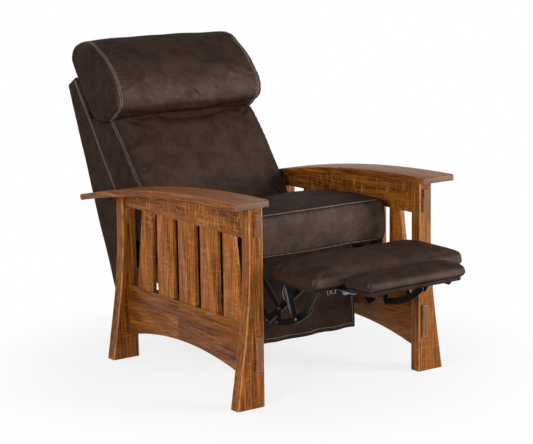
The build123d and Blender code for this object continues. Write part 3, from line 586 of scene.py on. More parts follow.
def leather(name, painted_highlight=0.0, gloss=1.0):
    """Espresso leather: mottled, softly creased and finely grained, with a low gloss, and lightened where
    it faces forwards as a painted sheen.
    """
    sizes = bpy.context.scene.recliner_leather
    f = Finish(name)
    clouds = f.noise(f.object, 17, 7, 0.7, 0.5)
    blotches = f.noise(f.scaled((1, 1, 1), location=(3, 1, 2)), 38, 4, 0.6)
    specks = f.noise(f.object, 260, 3, 0.6)
    base = f.mix(f.ramp(clouds, 0.34, 0.66), sizes.dark, sizes.light)
    base = f.mix(f.ramp(blotches, 0.48, 0.72, 0, 0.6), base, sizes.red)
    base = f.mix(f.ramp(specks, 0.42, 0.72, 0.0, 0.45), base, sizes.light)
    # Painted sheen: where the cover faces forwards, the leather is lightened towards the rubbed tone, in
    # cloudy patches, in place of highlights.
    worn = f.node("ShaderNodeAttribute", attribute_name="rubbed").outputs["Fac"]
    cloudy = f.ramp(clouds, 0.36, 0.64, 0.8, 1.2)
    patchy = f.maths("MULTIPLY", cloudy, f.ramp(blotches, 0.35, 0.65, 1.1, 0.9))
    worn = f.maths("MULTIPLY", f.maths("MULTIPLY", worn, patchy), sizes.painted_sheen_share)
    base = f.mix(worn, base, sizes.rubbed)
    # Painted highlight: the welts are lightened towards the same tone by this share.
    base = f.mix(painted_highlight, base, sizes.rubbed)
    pebbles = f.node(
        "ShaderNodeTexVoronoi", {"Vector": f.object, "Scale": 1 / sizes.grain}, feature="DISTANCE_TO_EDGE"
    ).outputs["Distance"]
    creases = f.node(
        "ShaderNodeTexVoronoi",
        {
            "Vector": f.scaled((1, 1, 1), location=(0.4, 0.9, 0.2)),
            "Scale": 1 / (9 * sizes.grain), "Randomness": 1.0,
        },
        feature="DISTANCE_TO_EDGE",
    ).outputs["Distance"]
    fine = f.bump(f.ramp(pebbles, 0.0, 0.25), 0.2, 0.0003)
    wrinkles = f.noise(f.object, 42, 5, 0.6, 1.8)
    uneven = f.maths("ADD", f.ramp(creases, 0, 0.1), f.maths("MULTIPLY", wrinkles, 2.2))
    broad = f.bump(uneven, 0.3, 0.0018, fine)
    return f.shaded(
        Base_Color=base, Roughness=0.5, Specular_IOR_Level=0.0, Normal=broad,
        Coat_Weight=sizes.gloss * gloss, Coat_Roughness=0.42, Coat_Normal=broad,
    )


def thread(name):
    """Light twisted thread."""
    f = Finish(name)
    twist = f.noise(f.scaled((2600, 2600, 2600)), 1, 1)
    base = f.mix(f.ramp(twist, 0.35, 0.65), linear(150, 138, 130), linear(214, 204, 196))
    return f.shaded(Base_Color=base, Roughness=0.6, Normal=f.bump(twist, 0.4, 0.0002))


def steel(name, colour, bright, roughness, metallic):
    """Painted or plated steel with faint dust and rubbed patches."""
    f = Finish(name)
    rubbed = f.noise(f.object, 45, 4)
    dust = f.noise(f.object, 700, 3)
    return f.shaded(
        Base_Color=f.mix(f.ramp(rubbed, 0.45, 0.8), colour, bright), Metallic=metallic,
        Roughness=f.ramp(dust, 0.3, 0.7, roughness - 0.06, roughness + 0.08),
        Normal=f.bump(dust, 0.12, 0.0003),
    )


def inner_board(name):
    """Plain pale board of the hidden frame."""
    f = Finish(name)
    streaks = f.noise(f.scaled((6, 60, 60)), 1, 5)
    base = f.mix(f.ramp(streaks, 0.3, 0.7), linear(150, 118, 82), linear(184, 152, 110))
    return f.shaded(Base_Color=base, Roughness=0.7, Normal=f.bump(streaks, 0.3, 0.0006))


def woven(f, warp_scale, weft_scale, distortion):
    """Crossing waves of a weave."""
    threads = [
        f.node(
            "ShaderNodeTexWave", {"Vector": f.object, "Scale": scale, "Distortion": distortion},
            bands_direction=direction,
        ).outputs["Fac"]
        for scale, direction in ((warp_scale, "X"), (weft_scale, "Y"))
    ]
    return f.maths("MULTIPLY", *threads)


def lining(name):
    """Black dust cloth with a fine uneven weave."""
    f = Finish(name)
    weave = woven(f, 420.0, 420.0, 0.6)
    return f.shaded(
        Base_Color=f.mix(weave, linear(14, 12, 12), linear(34, 30, 29)), Roughness=0.9,
        Specular_IOR_Level=0.1, Normal=f.bump(weave, 0.4, 0.0004),
    )


def webbing(name):
    """Woven elastic strap."""
    f = Finish(name)
    weave = woven(f, 190.0, 150.0, 0.0)
    return f.shaded(
        Base_Color=f.mix(weave, linear(58, 50, 42), linear(112, 98, 82)), Roughness=0.85,
        Normal=f.bump(weave, 0.5, 0.0006),
    )


recipes = {
    "oak_arm": lambda n: oak(n, "y", 0.10, (9.0, 9.0, 9.0)),
    "oak_arm_worn": lambda n: oak(n, "y", 0.0, (9.0, 9.0, 9.0), worn=0.55),
    "oak_rail": lambda n: oak(n, "y", 0.85, (0.9, 9.0, 0.24), dark=0.86),
    "oak_rail_worn": lambda n: oak(n, "y", 0.2, (0.9, 9.0, 0.24), worn=0.55),
    "oak_low_rail": lambda n: oak(n, "y", 0.12, (0.9, 9.0, 9.0), figured=0.32, dark=0.88, waves=5.0),
    "oak_low_rail_worn": lambda n: oak(n, "y", 0.0, (0.9, 9.0, 9.0), worn=0.5),
    "oak_leg": lambda n: oak(n, "z", 0.22, (0.9, 0.0203, 9.0), dark=0.96),
    "oak_leg_worn": lambda n: oak(n, "z", 0.0, (0.9, 0.0203, 9.0), worn=0.7),
    "oak_slat": lambda n: oak(n, "z", 0.30, (0.9, 0.0636, 9.0), dark=1.32),
    "oak_slat_worn": lambda n: oak(n, "z", 0.0, (0.9, 0.0636, 9.0), worn=0.6),
    "oak_stretcher": lambda n: oak(n, "x", 0.3, (9.0, 9.0, 9.0), dark=0.8),
    "oak_stretcher_worn": lambda n: oak(n, "x", 0.0, (9.0, 9.0, 9.0), worn=0.4, dark=0.8),
    "end_grain": end_grain,
    "tenon_end": lambda n: end_grain(n, linear(86, 48, 24), linear(118, 72, 38)),
    "leather": leather,
    # Welts: leather with a painted highlight, lightened 0.8 of the way to the rubbed tone, and twice the
    # gloss.
    "welt": lambda n: leather(n, 0.8, 2.0),
    "thread": thread,
    "black_steel": lambda n: steel(n, linear(8, 8, 9), linear(24, 24, 26), 0.38, 0.3),
    "zinc_steel": lambda n: steel(n, linear(132, 142, 156), linear(178, 188, 200), 0.34, 1.0),
    "inner_board": inner_board,
    "lining": lining,
    "webbing": webbing,
}


# Padding


def soft_copy(nodes, name, voxel, shrink=0.0, rounding=2):
    """A copy of soft CAD nodes as one cover, with even faces, rounded edges and a changed size."""
    piece = join(name, [copy_of(node, name) for node in nodes])
    apply_modifier(piece, "REMESH", mode="VOXEL", voxel_size=voxel)
    apply_modifier(piece, "SMOOTH", factor=0.5, iterations=rounding)
    if shrink:
        move_to(piece, corners(piece) - normals(piece) * shrink)
    return piece


def inflate(piece, seams, held_width, cap, rear=None):
    """Blow a cover up between its seams by cloth simulation, outwards by no more than the cap.

    The rear, if given, is a place and a direction: what lies near that plane is held too.
    """
    rear_band, most_inward, most_slide, frames = 0.006, 0.0015, 0.004, 20
    before, facing = corners(piece), normals(piece)
    distance = np.min([nearest(seam, before)[0] for seam in seams], axis=0)
    if rear:
        behind = (before - np.array(rear[0])) @ np.array(rear[1].normalized())
        distance = np.minimum(distance, np.abs(behind) - rear_band)
    held = piece.vertex_groups.new(name="held")
    held.add([int(i) for i in np.nonzero(distance < held_width)[0]], 1.0, "REPLACE")
    only(piece)
    bpy.ops.object.modifier_add(type="CLOTH")
    cloth = piece.modifiers[-1]
    cloth.settings.quality = 2
    cloth.settings.mass = 0.3
    cloth.settings.bending_stiffness = 3.0
    cloth.settings.use_pressure = True
    cloth.settings.uniform_pressure_force = 4.0
    cloth.settings.vertex_group_mass = "held"
    cloth.settings.effector_weights.gravity = 0
    cloth.point_cache.frame_end = frames
    for step in range(1, frames + 1):
        bpy.context.scene.frame_set(step)
    bpy.ops.object.modifier_apply(modifier=cloth.name)
    bpy.context.scene.frame_set(1)
    moved = corners(piece) - before
    outward = (moved * facing).sum(1)
    slide = moved - facing * outward[:, None]
    outward = np.where(outward > 0, cap * np.tanh(outward / cap), np.maximum(outward, -most_inward))
    length = np.linalg.norm(slide, axis=1)[:, None] + 1e-9
    slide *= np.minimum(1, most_slide / length)
    move_to(piece, before + facing * outward[:, None] + 0.5 * slide)
    piece.vertex_groups.clear()
    apply_modifier(piece, "SMOOTH", factor=0.5, iterations=2)
    apply_modifier(piece, "SUBSURF", levels=1, render_levels=1)


def keep_within(piece, origin, direction, reach):
    """Flatten what passes a plane that lies at a reach from an origin along a direction."""
    co = corners(piece)
    direction = np.array(direction.normalized())
    past = (co - np.array(origin)) @ direction - reach
    move_to(piece, co - np.clip(past, 0, None)[:, None] * direction)


def keep_narrow(piece, half):
    """Flatten what passes a half width on either side."""
    for side in (-1, 1):
        keep_within(piece, Vector((0, 0, 0)), Vector((side, 0, 0)), half)


def rear_plane(forward=0):
    """A plane along the seam line of the back, as a place and its forward direction."""
    return on_back(0, 0, forward), on_back(0, 0, 1) - on_back(0, 0, 0)


def keep_before_back(piece, gap):
    """Flatten what comes nearer than a gap to the plane of the back's seam line."""
    place, forward = rear_plane()
    keep_within(piece, place, -forward, -gap)


def seam_pair(half, outline):
    """Seam lines on both sides of the back, through places given as up and forward."""
    return [
        smooth_line([on_back(side * half, up, forward) for up, forward in outline]) for side in (-1, 1)
    ]


def stretch(piece, start, end, length, near=None, far=None):
    """Lengthen a piece between two places, and if near and far are given, only towards far."""
    co = corners(piece)
    axis = np.array(end - start)
    reach = np.linalg.norm(axis)
    share = np.clip((co - np.array(start)) @ axis / reach**2, 0, 1)
    if near is not None:
        across = np.array(far - near)
        share *= np.clip((co - np.array(near)) @ across / (across @ across), 0, 1)
    move_to(piece, co + axis / reach * (length * share)[:, None])


def tuck(piece, low, height, inward, margin):
    """Round the lower edge of a pad in under it."""
    co = corners(piece)
    middle = (co.max(0) + co.min(0)) / 2
    half = (co.max(0) - co.min(0)) / 2 - margin
    away = co - middle
    away[:, 2] = 0
    out = np.sign(away) * np.clip(np.abs(away) - np.array([half[0], half[1], 0]), 0, None)
    length = np.linalg.norm(out, axis=1)[:, None]
    share = np.clip(1 - (co[:, 2] - low) / height, 0, 1)
    bend = 1 - np.sqrt(1 - share * share * 0.998)
    drawn = inward * bend * np.clip(length[:, 0] / margin, 0, 1)
    move_to(piece, co - out / (length + 1e-6) * drawn[:, None])


def gather(piece, corner, outward, reach, depth):
    """Pleats that fan out over a pad's corner from its lower edge."""
    co, no = corners(piece), normals(piece)
    away = co - np.array(corner)
    distance = np.linalg.norm(away, axis=1)
    side = np.array(outward.cross(Vector((0, 0, 1))).normalized())
    angle = np.arctan2(away @ side, away[:, 2] + 0.004)
    wave = np.sin(angle * 7.0)
    share = np.clip(1 - distance / reach, 0, 1) * np.clip(distance / 0.006, 0, 1)
    move_to(piece, co + no * (depth * wave * share)[:, None])


def cover(piece, body, nodes):
    """Finish a padded cover: leather with a painted sheen mask, smooth shading, its body and the nodes that
    it replaces.
    """
    dress(piece, "leather")
    # Painted sheen mask: how squarely each point faces forwards, to the fourth power; the leather is
    # lightened there in place of highlights.
    layer = piece.data.attributes.new("rubbed", "FLOAT", "POINT")
    layer.data.foreach_set("value", np.clip(-normals(piece)[:, 1], 0, 1) ** 4)
    shade_smooth(piece)
    finish_piece(piece, body, "leather", *nodes)


def trim(pieces, name, body):
    """Join seams or stitches into one piece that rides with its cover."""
    finish_piece(join(name, pieces), body, "leather")


def double_seam(piece, name, line):
    """A pressed seam with a row of stitches on each side."""
    press(piece, line, width=0.009, depth=0.0016)
    surface = surface_of(piece)
    away = 0.0038
    return [
        stitches(f"{name}_{i}", laid_on(surface, line, lift=0.0002, shift=shift))
        for i, shift in enumerate((-away, away))
    ]


class RECLINER_OT_oak_frame(bpy.types.Operator):
    """Gives the legs, arms, rails, slats and stretchers eased edges and oak with its grain"""

    bl_idname = "recliner.oak_frame"
    bl_label = "Oak frame"

    def execute(self, context):
        sizes = context.scene.recliner_oak
        least_squareness, largest_end = 0.96, 0.02
        kinds = {
            "arm": "oak_arm", "top": "oak_rail", "bottom": "oak_low_rail",
            "front": "oak_leg", "rear": "oak_leg", "slats": "oak_slat",
        }
        for grain, nodes in oak_nodes.items():
            for node in nodes:
                kind = kinds[node.split("_")[0]]
                if node.endswith("stretcher"):
                    kind = "oak_stretcher"
                piece = copy_of(node, "oak_" + node)
                edit(piece, lambda: bpy.ops.mesh.dissolve_limited(angle_limit=radians(0.2)))
                ends = "tenon_end" if "rail" in kind else "end_grain"
                dress(piece, kind, kind + "_worn", ends)
                for face in piece.data.polygons:
                    squareness = abs(face.normal["xyz".index(grain)])
                    if squareness > least_squareness and face.area < largest_end:
                        face.material_index = 2
                apply_modifier(
                    piece, "BEVEL", width=sizes.eased, segments=2, limit_method="ANGLE",
                    angle_limit=radians(28), material=1, harden_normals=False,
                )
                shade_smooth(piece, sharp=32)
                finish_piece(piece, "frame", "oak", node)
        return {"FINISHED"}


class RECLINER_OT_inner_frame(bpy.types.Operator):
    """Finishes the inner boards and the webbing, and covers the boards that are upholstered"""

    bl_idname = "recliner.inner_frame"
    bl_label = "Inner frame"

    def execute(self, context):
        for part in frame["record"]["subparts"]:
            kind = {"frame_board": "inner_board", "webbing": "webbing"}.get(part["material_slot"])
            if kind:
                dress(frame["nodes"][part["node"]], kind)
        for node, body in upholstered.items():
            piece = copy_of(node, node + "_cover")
            edit(piece, lambda: bpy.ops.mesh.dissolve_limited(angle_limit=radians(0.2)))
            apply_modifier(
                piece, "BEVEL", width=0.003, segments=3, limit_method="ANGLE", angle_limit=radians(30)
            )
            dress(piece, "leather" if node in leathered else "lining")
            shade_smooth(piece, sharp=40)
            finish_piece(piece, body, "leather", node)
        return {"FINISHED"}


def rivet(side, reach, centre, radius):
    """Domed head of a rivet on the outer face of a link."""
    deselect()
    bpy.ops.mesh.primitive_uv_sphere_add(segments=16, ring_count=10, radius=radius, location=(0, 0, 0))
    piece = bpy.context.object
    left = side > 0
    edit(
        piece,
        lambda: bpy.ops.mesh.bisect(
            plane_co=(0, 0, 0), plane_no=(1, 0, 0), use_fill=True, clear_inner=left, clear_outer=not left
        ),
        lambda: bpy.ops.mesh.select_all(action="SELECT"),
        lambda: bpy.ops.transform.resize(value=(0.2, 1, 1), center_override=(0, 0, 0)),
        lambda: bpy.ops.transform.translate(value=(side * reach, centre.y, centre.z)),
    )
    dress(piece, "zinc_steel")
    shade_smooth(piece, sharp=50)
    return piece


def coil(start, end, turns, radius):
    """Points of a coil spring between two places, with a straight hook at each end."""
    axis = (end - start).normalized()
    side = axis.orthogonal().normalized()
    other = axis.cross(side)
    line = [start]
    steps = turns * 10
    for k in range(steps + 1):
        angle = 2 * pi * k / 10
        share = 0.12 + 0.76 * k / steps
        line.append(start.lerp(end, share) + (side * cos(angle) + other * sin(angle)) * radius)
    return line + [end]


class RECLINER_OT_mechanism(bpy.types.Operator):
    """Finishes the steel parts and adds the rivets, springs and wires of the linkage"""

    bl_idname = "recliner.mechanism"
    bl_label = "Footrest mechanism"

    def execute(self, context):
        sizes = context.scene.recliner_steel
        for part in frame["record"]["subparts"]:
            kind = part["material_slot"]
            if kind in ("black_steel", "zinc_steel"):
                dress(frame["nodes"][part["node"]], kind)
        bodies = {}
        for body, nodes in frame["record"]["behaviour"]["bodies"].items():
            bodies.update(dict.fromkeys(nodes, body))
        heads = {}
        for depth, height in pivots.values():
            centre = at(0, depth, height)
            for side in (-1, 1):
                found = []
                for node in linkage:
                    co = corners(frame["nodes"][node])
                    away = np.hypot(co[:, 1] - centre.y, co[:, 2] - centre.z)
                    near = (away < sizes.boss) & (co[:, 0] * side > 0)
                    if near.any():
                        found.append((float(np.abs(co[near, 0]).max()), bodies[node]))
                reach, body = max(found)
                heads.setdefault(body, []).append(rivet(side, reach, centre, sizes.rivet))
        for body, pieces in heads.items():
            finish_piece(join("rivets_" + body, pieces), body, "zinc_steel")
        wires = {"ottoman": [], "stay_links": []}
        clip_depth, under_board = -0.198, 0.3875
        bow = [(-0.012, 0.374), (-0.002, 0.355), (-0.005, 0.335), (-0.020, 0.322)]
        for side in (-1, 1):
            for inner, outer, low in ((0.208, 0.2175, 0.374), (0.188, 0.202, 0.376)):
                clip = ((inner, under_board), (inner, low), (outer, low), (outer, under_board))
                line = [at(side * x, clip_depth, z) for x, z in clip]
                wires["ottoman"].append(tube("clip", line, sizes.wire, "zinc_steel"))
            line = smooth_line([at(side * 0.2375, depth, height) for depth, height in bow])
            wires["stay_links"].append(tube("bow", line, sizes.wire, "zinc_steel"))
            top, foot = at(side * 0.2385, -0.014, 0.370), at(side * 0.2385, -0.043, 0.292)
            spring = coil(top, foot, 9, sizes.coil)
            wires["stay_links"].append(tube("spring", spring, sizes.wire * 0.8, "zinc_steel", roundness=1))
        for body, pieces in wires.items():
            finish_piece(join("wires_" + body, pieces), body, "zinc_steel")
        return {"FINISHED"}


class RECLINER_OT_seat_cushion(bpy.types.Operator):
    """Makes the boxed seat cushion with its two welts"""

    bl_idname = "recliner.seat_cushion"
    bl_label = "Seat cushion"

    def execute(self, context):
        sizes = context.scene.recliner_leather
        half, depth, edge, radius = cushion_half - 0.006, 0.242, 0.129, 0.032
        middle, inset = 0.245, 0.004
        lean = edge * tan(seat_pitch)
        loops = {}
        for name, up in (("low", inset), ("high", edge - inset)):
            shift = middle - lean * up / edge
            outline = [on_seat(x, shift + y, up) for x, y in ring(half, depth, radius)]
            loops[name] = smooth_line(outline, closed=True)
        piece = soft_copy(["seat_cushion"], "seat_cushion_cover", sizes.voxel, shrink=-0.004)
        inflate(piece, list(loops.values()), held_width=0.008, cap=sizes.swell)
        keep_narrow(piece, seat_cover_half)
        keep_within(piece, on_seat(0, 0, 0), on_seat(0, 0, 0) - on_seat(0, 0, 1), reach=-0.0004)
        for seed, line in enumerate(loops.values()):
            pucker(piece, line, spacing=0.030, reach=0.022, depth=0.0012, seed=seed + 3)
            press(piece, line, width=0.010, depth=0.0025)
        ripple(piece, size=0.16, depth=0.0035, seed=2)
        surface = surface_of(piece)
        evened = 12
        welts = []
        for name, line in loops.items():
            laid = np.array(laid_on(surface, line, lift=sizes.welt * 1.1))
            for _ in range(evened):
                laid = (np.roll(laid, 1, 0) + laid * 2 + np.roll(laid, -1, 0)) / 4
            laid = [Vector(place) for place in laid]
            welts.append(tube("seat_welt_" + name, laid, sizes.welt, "welt", closed=True))
        cover(piece, "seat", ["seat_cushion"])
        trim(welts, "seat_welts", "seat")
        return {"FINISHED"}


class RECLINER_OT_back_cushion(bpy.types.Operator):
    """Makes the back cushion with its stitched side panels"""

    bl_idname = "recliner.back_cushion"
    bl_label = "Back cushion"

    def execute(self, context):
        sizes = context.scene.recliner_leather
        outline = ((-0.012, 0.128), (0.10, 0.135), (0.20, 0.130), (0.30, 0.123), (0.400, 0.112))
        seams = seam_pair(0.283, outline)
        piece = soft_copy(["back_cushion"], "back_cushion_cover", sizes.voxel, shrink=-0.006)
        inflate(piece, seams, held_width=0.007, cap=sizes.swell, rear=rear_plane())
        keep_narrow(piece, back_cover_half)
        keep_before_back(piece, 0.0006)
        stretch(piece, on_back(0, 0.27, 0), on_back(0, 0.43, 0), length=0.014)
        ripple(piece, size=0.15, depth=0.004, seed=5)
        rows = []
        for seed, line in enumerate(seams):
            pucker(piece, line, spacing=0.026, reach=0.030, depth=0.0014, seed=seed + 11)
            rows += double_seam(piece, f"back_seam_{seed}", line)
        cover(piece, "back", ["back_cushion"])
        trim(rows, "back_stitches", "back")
        return {"FINISHED"}


class RECLINER_OT_headrest(bpy.types.Operator):
    """Makes the rolled headrest pillow with its end panels, seams and soft creases"""

    bl_idname = "recliner.headrest"
    bl_label = "Headrest pillow"

    def execute(self, context):
        sizes = context.scene.recliner_leather
        outline = (
            (0.690, 0.027), (0.717, 0.055), (0.719, 0.090), (0.687, 0.152), (0.630, 0.184), (0.551, 0.213),
            (0.477, 0.221), (0.413, 0.211), (0.386, 0.187), (0.396, 0.120), (0.420, 0.062), (0.455, 0.030),
        )
        seams = seam_pair(0.281, outline)
        piece = soft_copy(["headrest_pillow"], "headrest_cover", sizes.voxel, shrink=-0.005)
        inflate(piece, seams, held_width=0.007, cap=sizes.swell, rear=rear_plane(headrest_rear))
        near, far = on_back(0, 0, 0.09), on_back(0, 0, 0.15)
        stretch(piece, on_back(0, 0.52, 0), on_back(0, 0.38, 0), length=-0.015, near=near, far=far)
        keep_before_back(piece, headrest_rear)
        keep_narrow(piece, headrest_cover_half)
        ripple(piece, size=0.12, depth=0.005, seed=8)
        # Creases, each from one place to another as across, up and forward, with width and depth
        for start, end, width, depth in (
            ((0.13, 0.55, 0.21), (0.18, 0.45, 0.215), 0.012, 0.012),
            ((0.17, 0.60, 0.20), (0.24, 0.46, 0.215), 0.011, 0.012),
            ((0.22, 0.55, 0.21), (0.27, 0.43, 0.210), 0.010, 0.009),
            ((0.06, 0.50, 0.22), (0.11, 0.42, 0.212), 0.009, 0.009),
            ((-0.10, 0.45, 0.22), (-0.04, 0.40, 0.210), 0.008, 0.003),
            ((-0.20, 0.47, 0.22), (-0.15, 0.40, 0.210), 0.008, 0.004),
            ((-0.02, 0.46, 0.22), (0.03, 0.40, 0.205), 0.009, 0.007),
            ((0.20, 0.66, 0.17), (0.27, 0.58, 0.190), 0.010, 0.004),
        ):
            fold(piece, on_back(*start), on_back(*end), width, depth)
        rows = []
        for seed, line in enumerate(seams):
            front = line[len(line) // 4:]
            pucker(piece, front, spacing=0.019, reach=0.030, depth=0.0009, seed=seed + 21)
            rows += double_seam(piece, f"headrest_seam_{seed}", line)
        cover(piece, "back", ["headrest_pillow"])
        trim(rows, "headrest_stitches", "back")
        return {"FINISHED"}


class RECLINER_OT_footrest_pads(bpy.types.Operator):
    """Makes the crowned pads of the footrest and of its flap, with gathered corners"""

    bl_idname = "recliner.footrest_pads"
    bl_label = "Footrest pads"

    def execute(self, context):
        inset, corner_radius, ottoman_rise = 0.003, 0.022, 0.006
        for body, seed in (("ottoman", 31), ("flipper", 41)):
            node = body + "_pad"
            low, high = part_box(node)
            centre = (low + high) / 2
            half_x, half_y = (high.x - low.x) / 2 - inset, (high.y - low.y) / 2 - inset
            outline = ring(half_x, half_y, corner_radius)
            outline = [Vector((centre.x + x, centre.y + y, low.z + inset)) for x, y in outline]
            line = smooth_line(outline, closed=True)
            piece = soft_copy([node], body + "_cover", voxel=0.0045, shrink=-0.004)
            inflate(piece, [line], held_width=0.007, cap=0.008)
            keep_within(piece, Vector((0, 0, low.z)), Vector((0, 0, -1)), reach=0)
            tuck(piece, low.z, height=0.012, inward=0.013, margin=0.030)
            if body == "ottoman":
                stretch(piece, Vector((0, 0, low.z + 0.02)), Vector((0, 0, high.z)), ottoman_rise)
            for side_x, side_y in ((-1, -1), (-1, 1), (1, -1), (1, 1)):
                corner = Vector((centre.x + side_x * half_x, centre.y + side_y * half_y, low.z + 0.008))
                gather(piece, corner, Vector((side_x, side_y, 0)), reach=0.036, depth=0.0026)
            ripple(piece, size=0.10, depth=0.0022, seed=seed)
            cover(piece, body, [node])
        return {"FINISHED"}


class RECLINER_OT_wings(bpy.types.Operator):
    """Upholsters the two wings of the back and stitches their front edges"""

    bl_idname = "recliner.wings"
    bl_label = "Wings"

    def execute(self, context):
        for node, side in (("back_wing_left", 1), ("back_wing_right", -1)):
            piece = soft_copy([node], node + "_cover", voxel=0.004, shrink=0.0004, rounding=4)
            ripple(piece, size=0.11, depth=0.0022, seed=50 + side)
            apply_modifier(piece, "SUBSURF", levels=1, render_levels=1)
            line = smooth_line([on_back(side * 0.2915, up, -0.012) for up in (0.01, 0.2, 0.4, 0.626)])
            rows = double_seam(piece, node + "_seam", line)
            cover(piece, "back", [node])
            trim(rows, node + "_stitches", "back")
        return {"FINISHED"}


class RECLINER_OT_outer_back(bpy.types.Operator):
    """Covers the rear of the back"""

    bl_idname = "recliner.outer_back"
    bl_label = "Outer back"

    def execute(self, context):
        piece = soft_copy(["outer_back_cover"], "outer_back_panel", voxel=0.004)
        ripple(piece, size=0.14, depth=0.003, seed=60)
        cover(piece, "back", ["outer_back_cover"])
        return {"FINISHED"}


class RECLINER_OT_valance(bpy.types.Operator):
    """Hangs the leather drop under the front of the seat"""

    bl_idname = "recliner.valance"
    bl_label = "Valance"

    def execute(self, context):
        low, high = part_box("valance")
        columns, rows_down = 150, 90
        swing_depth, small_depth, most_depth, thickness = 0.0050, 0.0065, 0.0055, 0.0018
        deselect()
        bpy.ops.mesh.primitive_grid_add(
            x_subdivisions=columns, y_subdivisions=rows_down, size=1, location=(0, 0, 0)
        )
        piece = context.object
        piece.name = "valance_sheet"
        co = corners(piece)
        across, down = co[:, 0] + 0.5, 0.5 - co[:, 1]
        width, height = high.x - low.x, high.z - low.z
        out = np.empty_like(co)
        for i, (u, v) in enumerate(zip(across, down)):
            x = low.x + u * width
            loose = 0.35 + 0.65 * v
            wander = 0.25 * noise.noise(Vector((u * 2.2, v * 0.8, 4.0)))
            swing = sin(2 * pi * (u * 3.4 + wander) + 0.6)
            small = noise.noise(Vector((u * 5.0, v * 2.6, 9.0)))
            out[i] = (x, 0, high.z - v * height)
            wave = swing_depth * loose * swing + small_depth * loose * small
            out[i, 1] = (low.y + high.y) / 2 + most_depth * np.tanh(wave / most_depth) + 0.001
        move_to(piece, out)
        apply_modifier(piece, "SOLIDIFY", thickness=thickness, offset=0)
        dress(piece, "leather")
        shade_smooth(piece)
        surface = surface_of(piece)
        front, margin = low.y - 0.012, 0.006
        hem = [(low.x + margin + t * (width - 2 * margin), low.z + 0.013) for t in np.linspace(0, 1, 9)]
        edge = [(high.x - 0.012, low.z + 0.02 + t * (height - 0.03)) for t in np.linspace(0, 1, 5)]
        rows = []
        for name, line in (("hem", hem), ("edge", edge)):
            line = smooth_line([(x, front, z) for x, z in line])
            rows.append(stitches("valance_" + name, laid_on(surface, line, lift=0.0005)))
        trim(rows, "valance_stitches", "seat")
        finish_piece(piece, "seat", "leather", "valance")
        return {"FINISHED"}


class RECLINER_OT_stage(bpy.types.Operator):
    """Sets the floor, the soft studio lights and the camera"""

    bl_idname = "recliner.stage"
    bl_label = "Studio"

    def execute(self, context):
        sizes = context.scene.recliner_stage
        scene = context.scene
        deselect()
        bpy.ops.mesh.primitive_plane_add(size=40, location=(0, 0, 0))
        floor = context.object
        floor.name = "floor"
        f = Finish("studio_floor")
        f.shaded(Base_Color=sizes.floor, Roughness=0.9, Specular_IOR_Level=0.0)
        away = f.node("ShaderNodeVectorMath", {0: f.object}, operation="LENGTH").outputs["Value"]
        far = f.ramp(away, 0.45, 1.15, sizes.lift, 1.0)
        white = (1, 1, 1, 1)
        glow = f.node("ShaderNodeEmission", {"Color": white, "Strength": 1.0})
        share = f.maths("MULTIPLY", far, f.seen_rays())
        blend = f.node("ShaderNodeMixShader", {0: share, 1: f.shader.outputs[0], 2: glow.outputs[0]})
        f.put(f.tree.nodes["Material Output"].inputs["Surface"], blend.outputs[0])
        floor.data.materials.append(f.material)
        scene.world = bpy.data.worlds.new("studio")
        scene.world.use_nodes = True
        world = Shading(scene.world.node_tree)
        world.tree.nodes.clear()
        direction = world.node("ShaderNodeTexCoord").outputs["Generated"]
        upward = world.node("ShaderNodeSeparateXYZ", {0: direction}).outputs["Z"]
        dimming = world.ramp(upward, 0.0, 0.9, sizes.ambient, sizes.overhead, smooth=False)
        soft = world.node("ShaderNodeBackground", {"Color": white, "Strength": dimming})
        plain = world.node("ShaderNodeBackground", {"Color": white})
        blend = world.node(
            "ShaderNodeMixShader", {0: world.seen_rays(), 1: soft.outputs[0], 2: plain.outputs[0]}
        )
        world.node("ShaderNodeOutputWorld", {0: blend.outputs[0]})
        looked_at = Vector((0, 0.1, 0.55))
        # Lamps by name, place, size and power
        for name, place, size, power in (
            ("key", (2.7, -3.1, 1.35), 1.4, sizes.key),
            ("fill", (-3.6, -1.8, 1.6), 1.6, sizes.fill),
            ("rear", (-0.6, 3.0, 3.2), 1.6, sizes.rear),
        ):
            bpy.ops.object.light_add(type="AREA", location=place)
            lamp = context.object
            lamp.name = name
            lamp.data.size = size
            lamp.data.energy = power
            lamp.rotation_euler = (looked_at - Vector(place)).to_track_quat("-Z", "Y").to_euler()
        bpy.ops.object.camera_add(location=(-3.15391, -4.45495, 1.53245))
        camera = context.object
        turn, rise, roll = radians(-35.39), radians(10.99), radians(-0.76)
        back = Vector((sin(turn) * cos(rise), -cos(turn) * cos(rise), sin(rise)))
        right = Vector((cos(turn), sin(turn), 0))
        up = back.cross(right)
        right, up = right * cos(roll) + up * sin(roll), up * cos(roll) - right * sin(roll)
        camera.rotation_euler = Matrix((right, up, back)).transposed().to_euler()
        camera.data.lens = sizes.lens
        scene.camera = camera
        scene.view_settings.view_transform = "Standard"
        return {"FINISHED"}


class OakSizes(bpy.types.PropertyGroup):
    """Sizes and colours of the oak"""

    eased: FloatProperty(
        name="Eased edge", description="Width of the eased edges", unit="LENGTH",
        default=0.0013,
    )
    dark: FloatVectorProperty(
        name="Dark grain", description="Colour of the dark grain", subtype="COLOR", size=4,
        default=linear(76, 35, 8),
    )
    middle: FloatVectorProperty(
        name="Middle grain", description="Main colour", subtype="COLOR", size=4,
        default=linear(140, 79, 22),
    )
    light: FloatVectorProperty(
        name="Light grain", description="Colour of the light grain", subtype="COLOR", size=4,
        default=linear(190, 119, 45),
    )
    fleck: FloatVectorProperty(
        name="Ray flecks", description="Colour of the ray flecks", subtype="COLOR", size=4,
        default=linear(192, 133, 68),
    )
    edge: FloatVectorProperty(
        name="Worn edges", description="Colour of rubbed edges", subtype="COLOR", size=4,
        default=linear(204, 150, 92),
    )
    pore: FloatVectorProperty(
        name="Pores", description="Colour of the pores", subtype="COLOR", size=4,
        default=linear(44, 22, 9),
    )


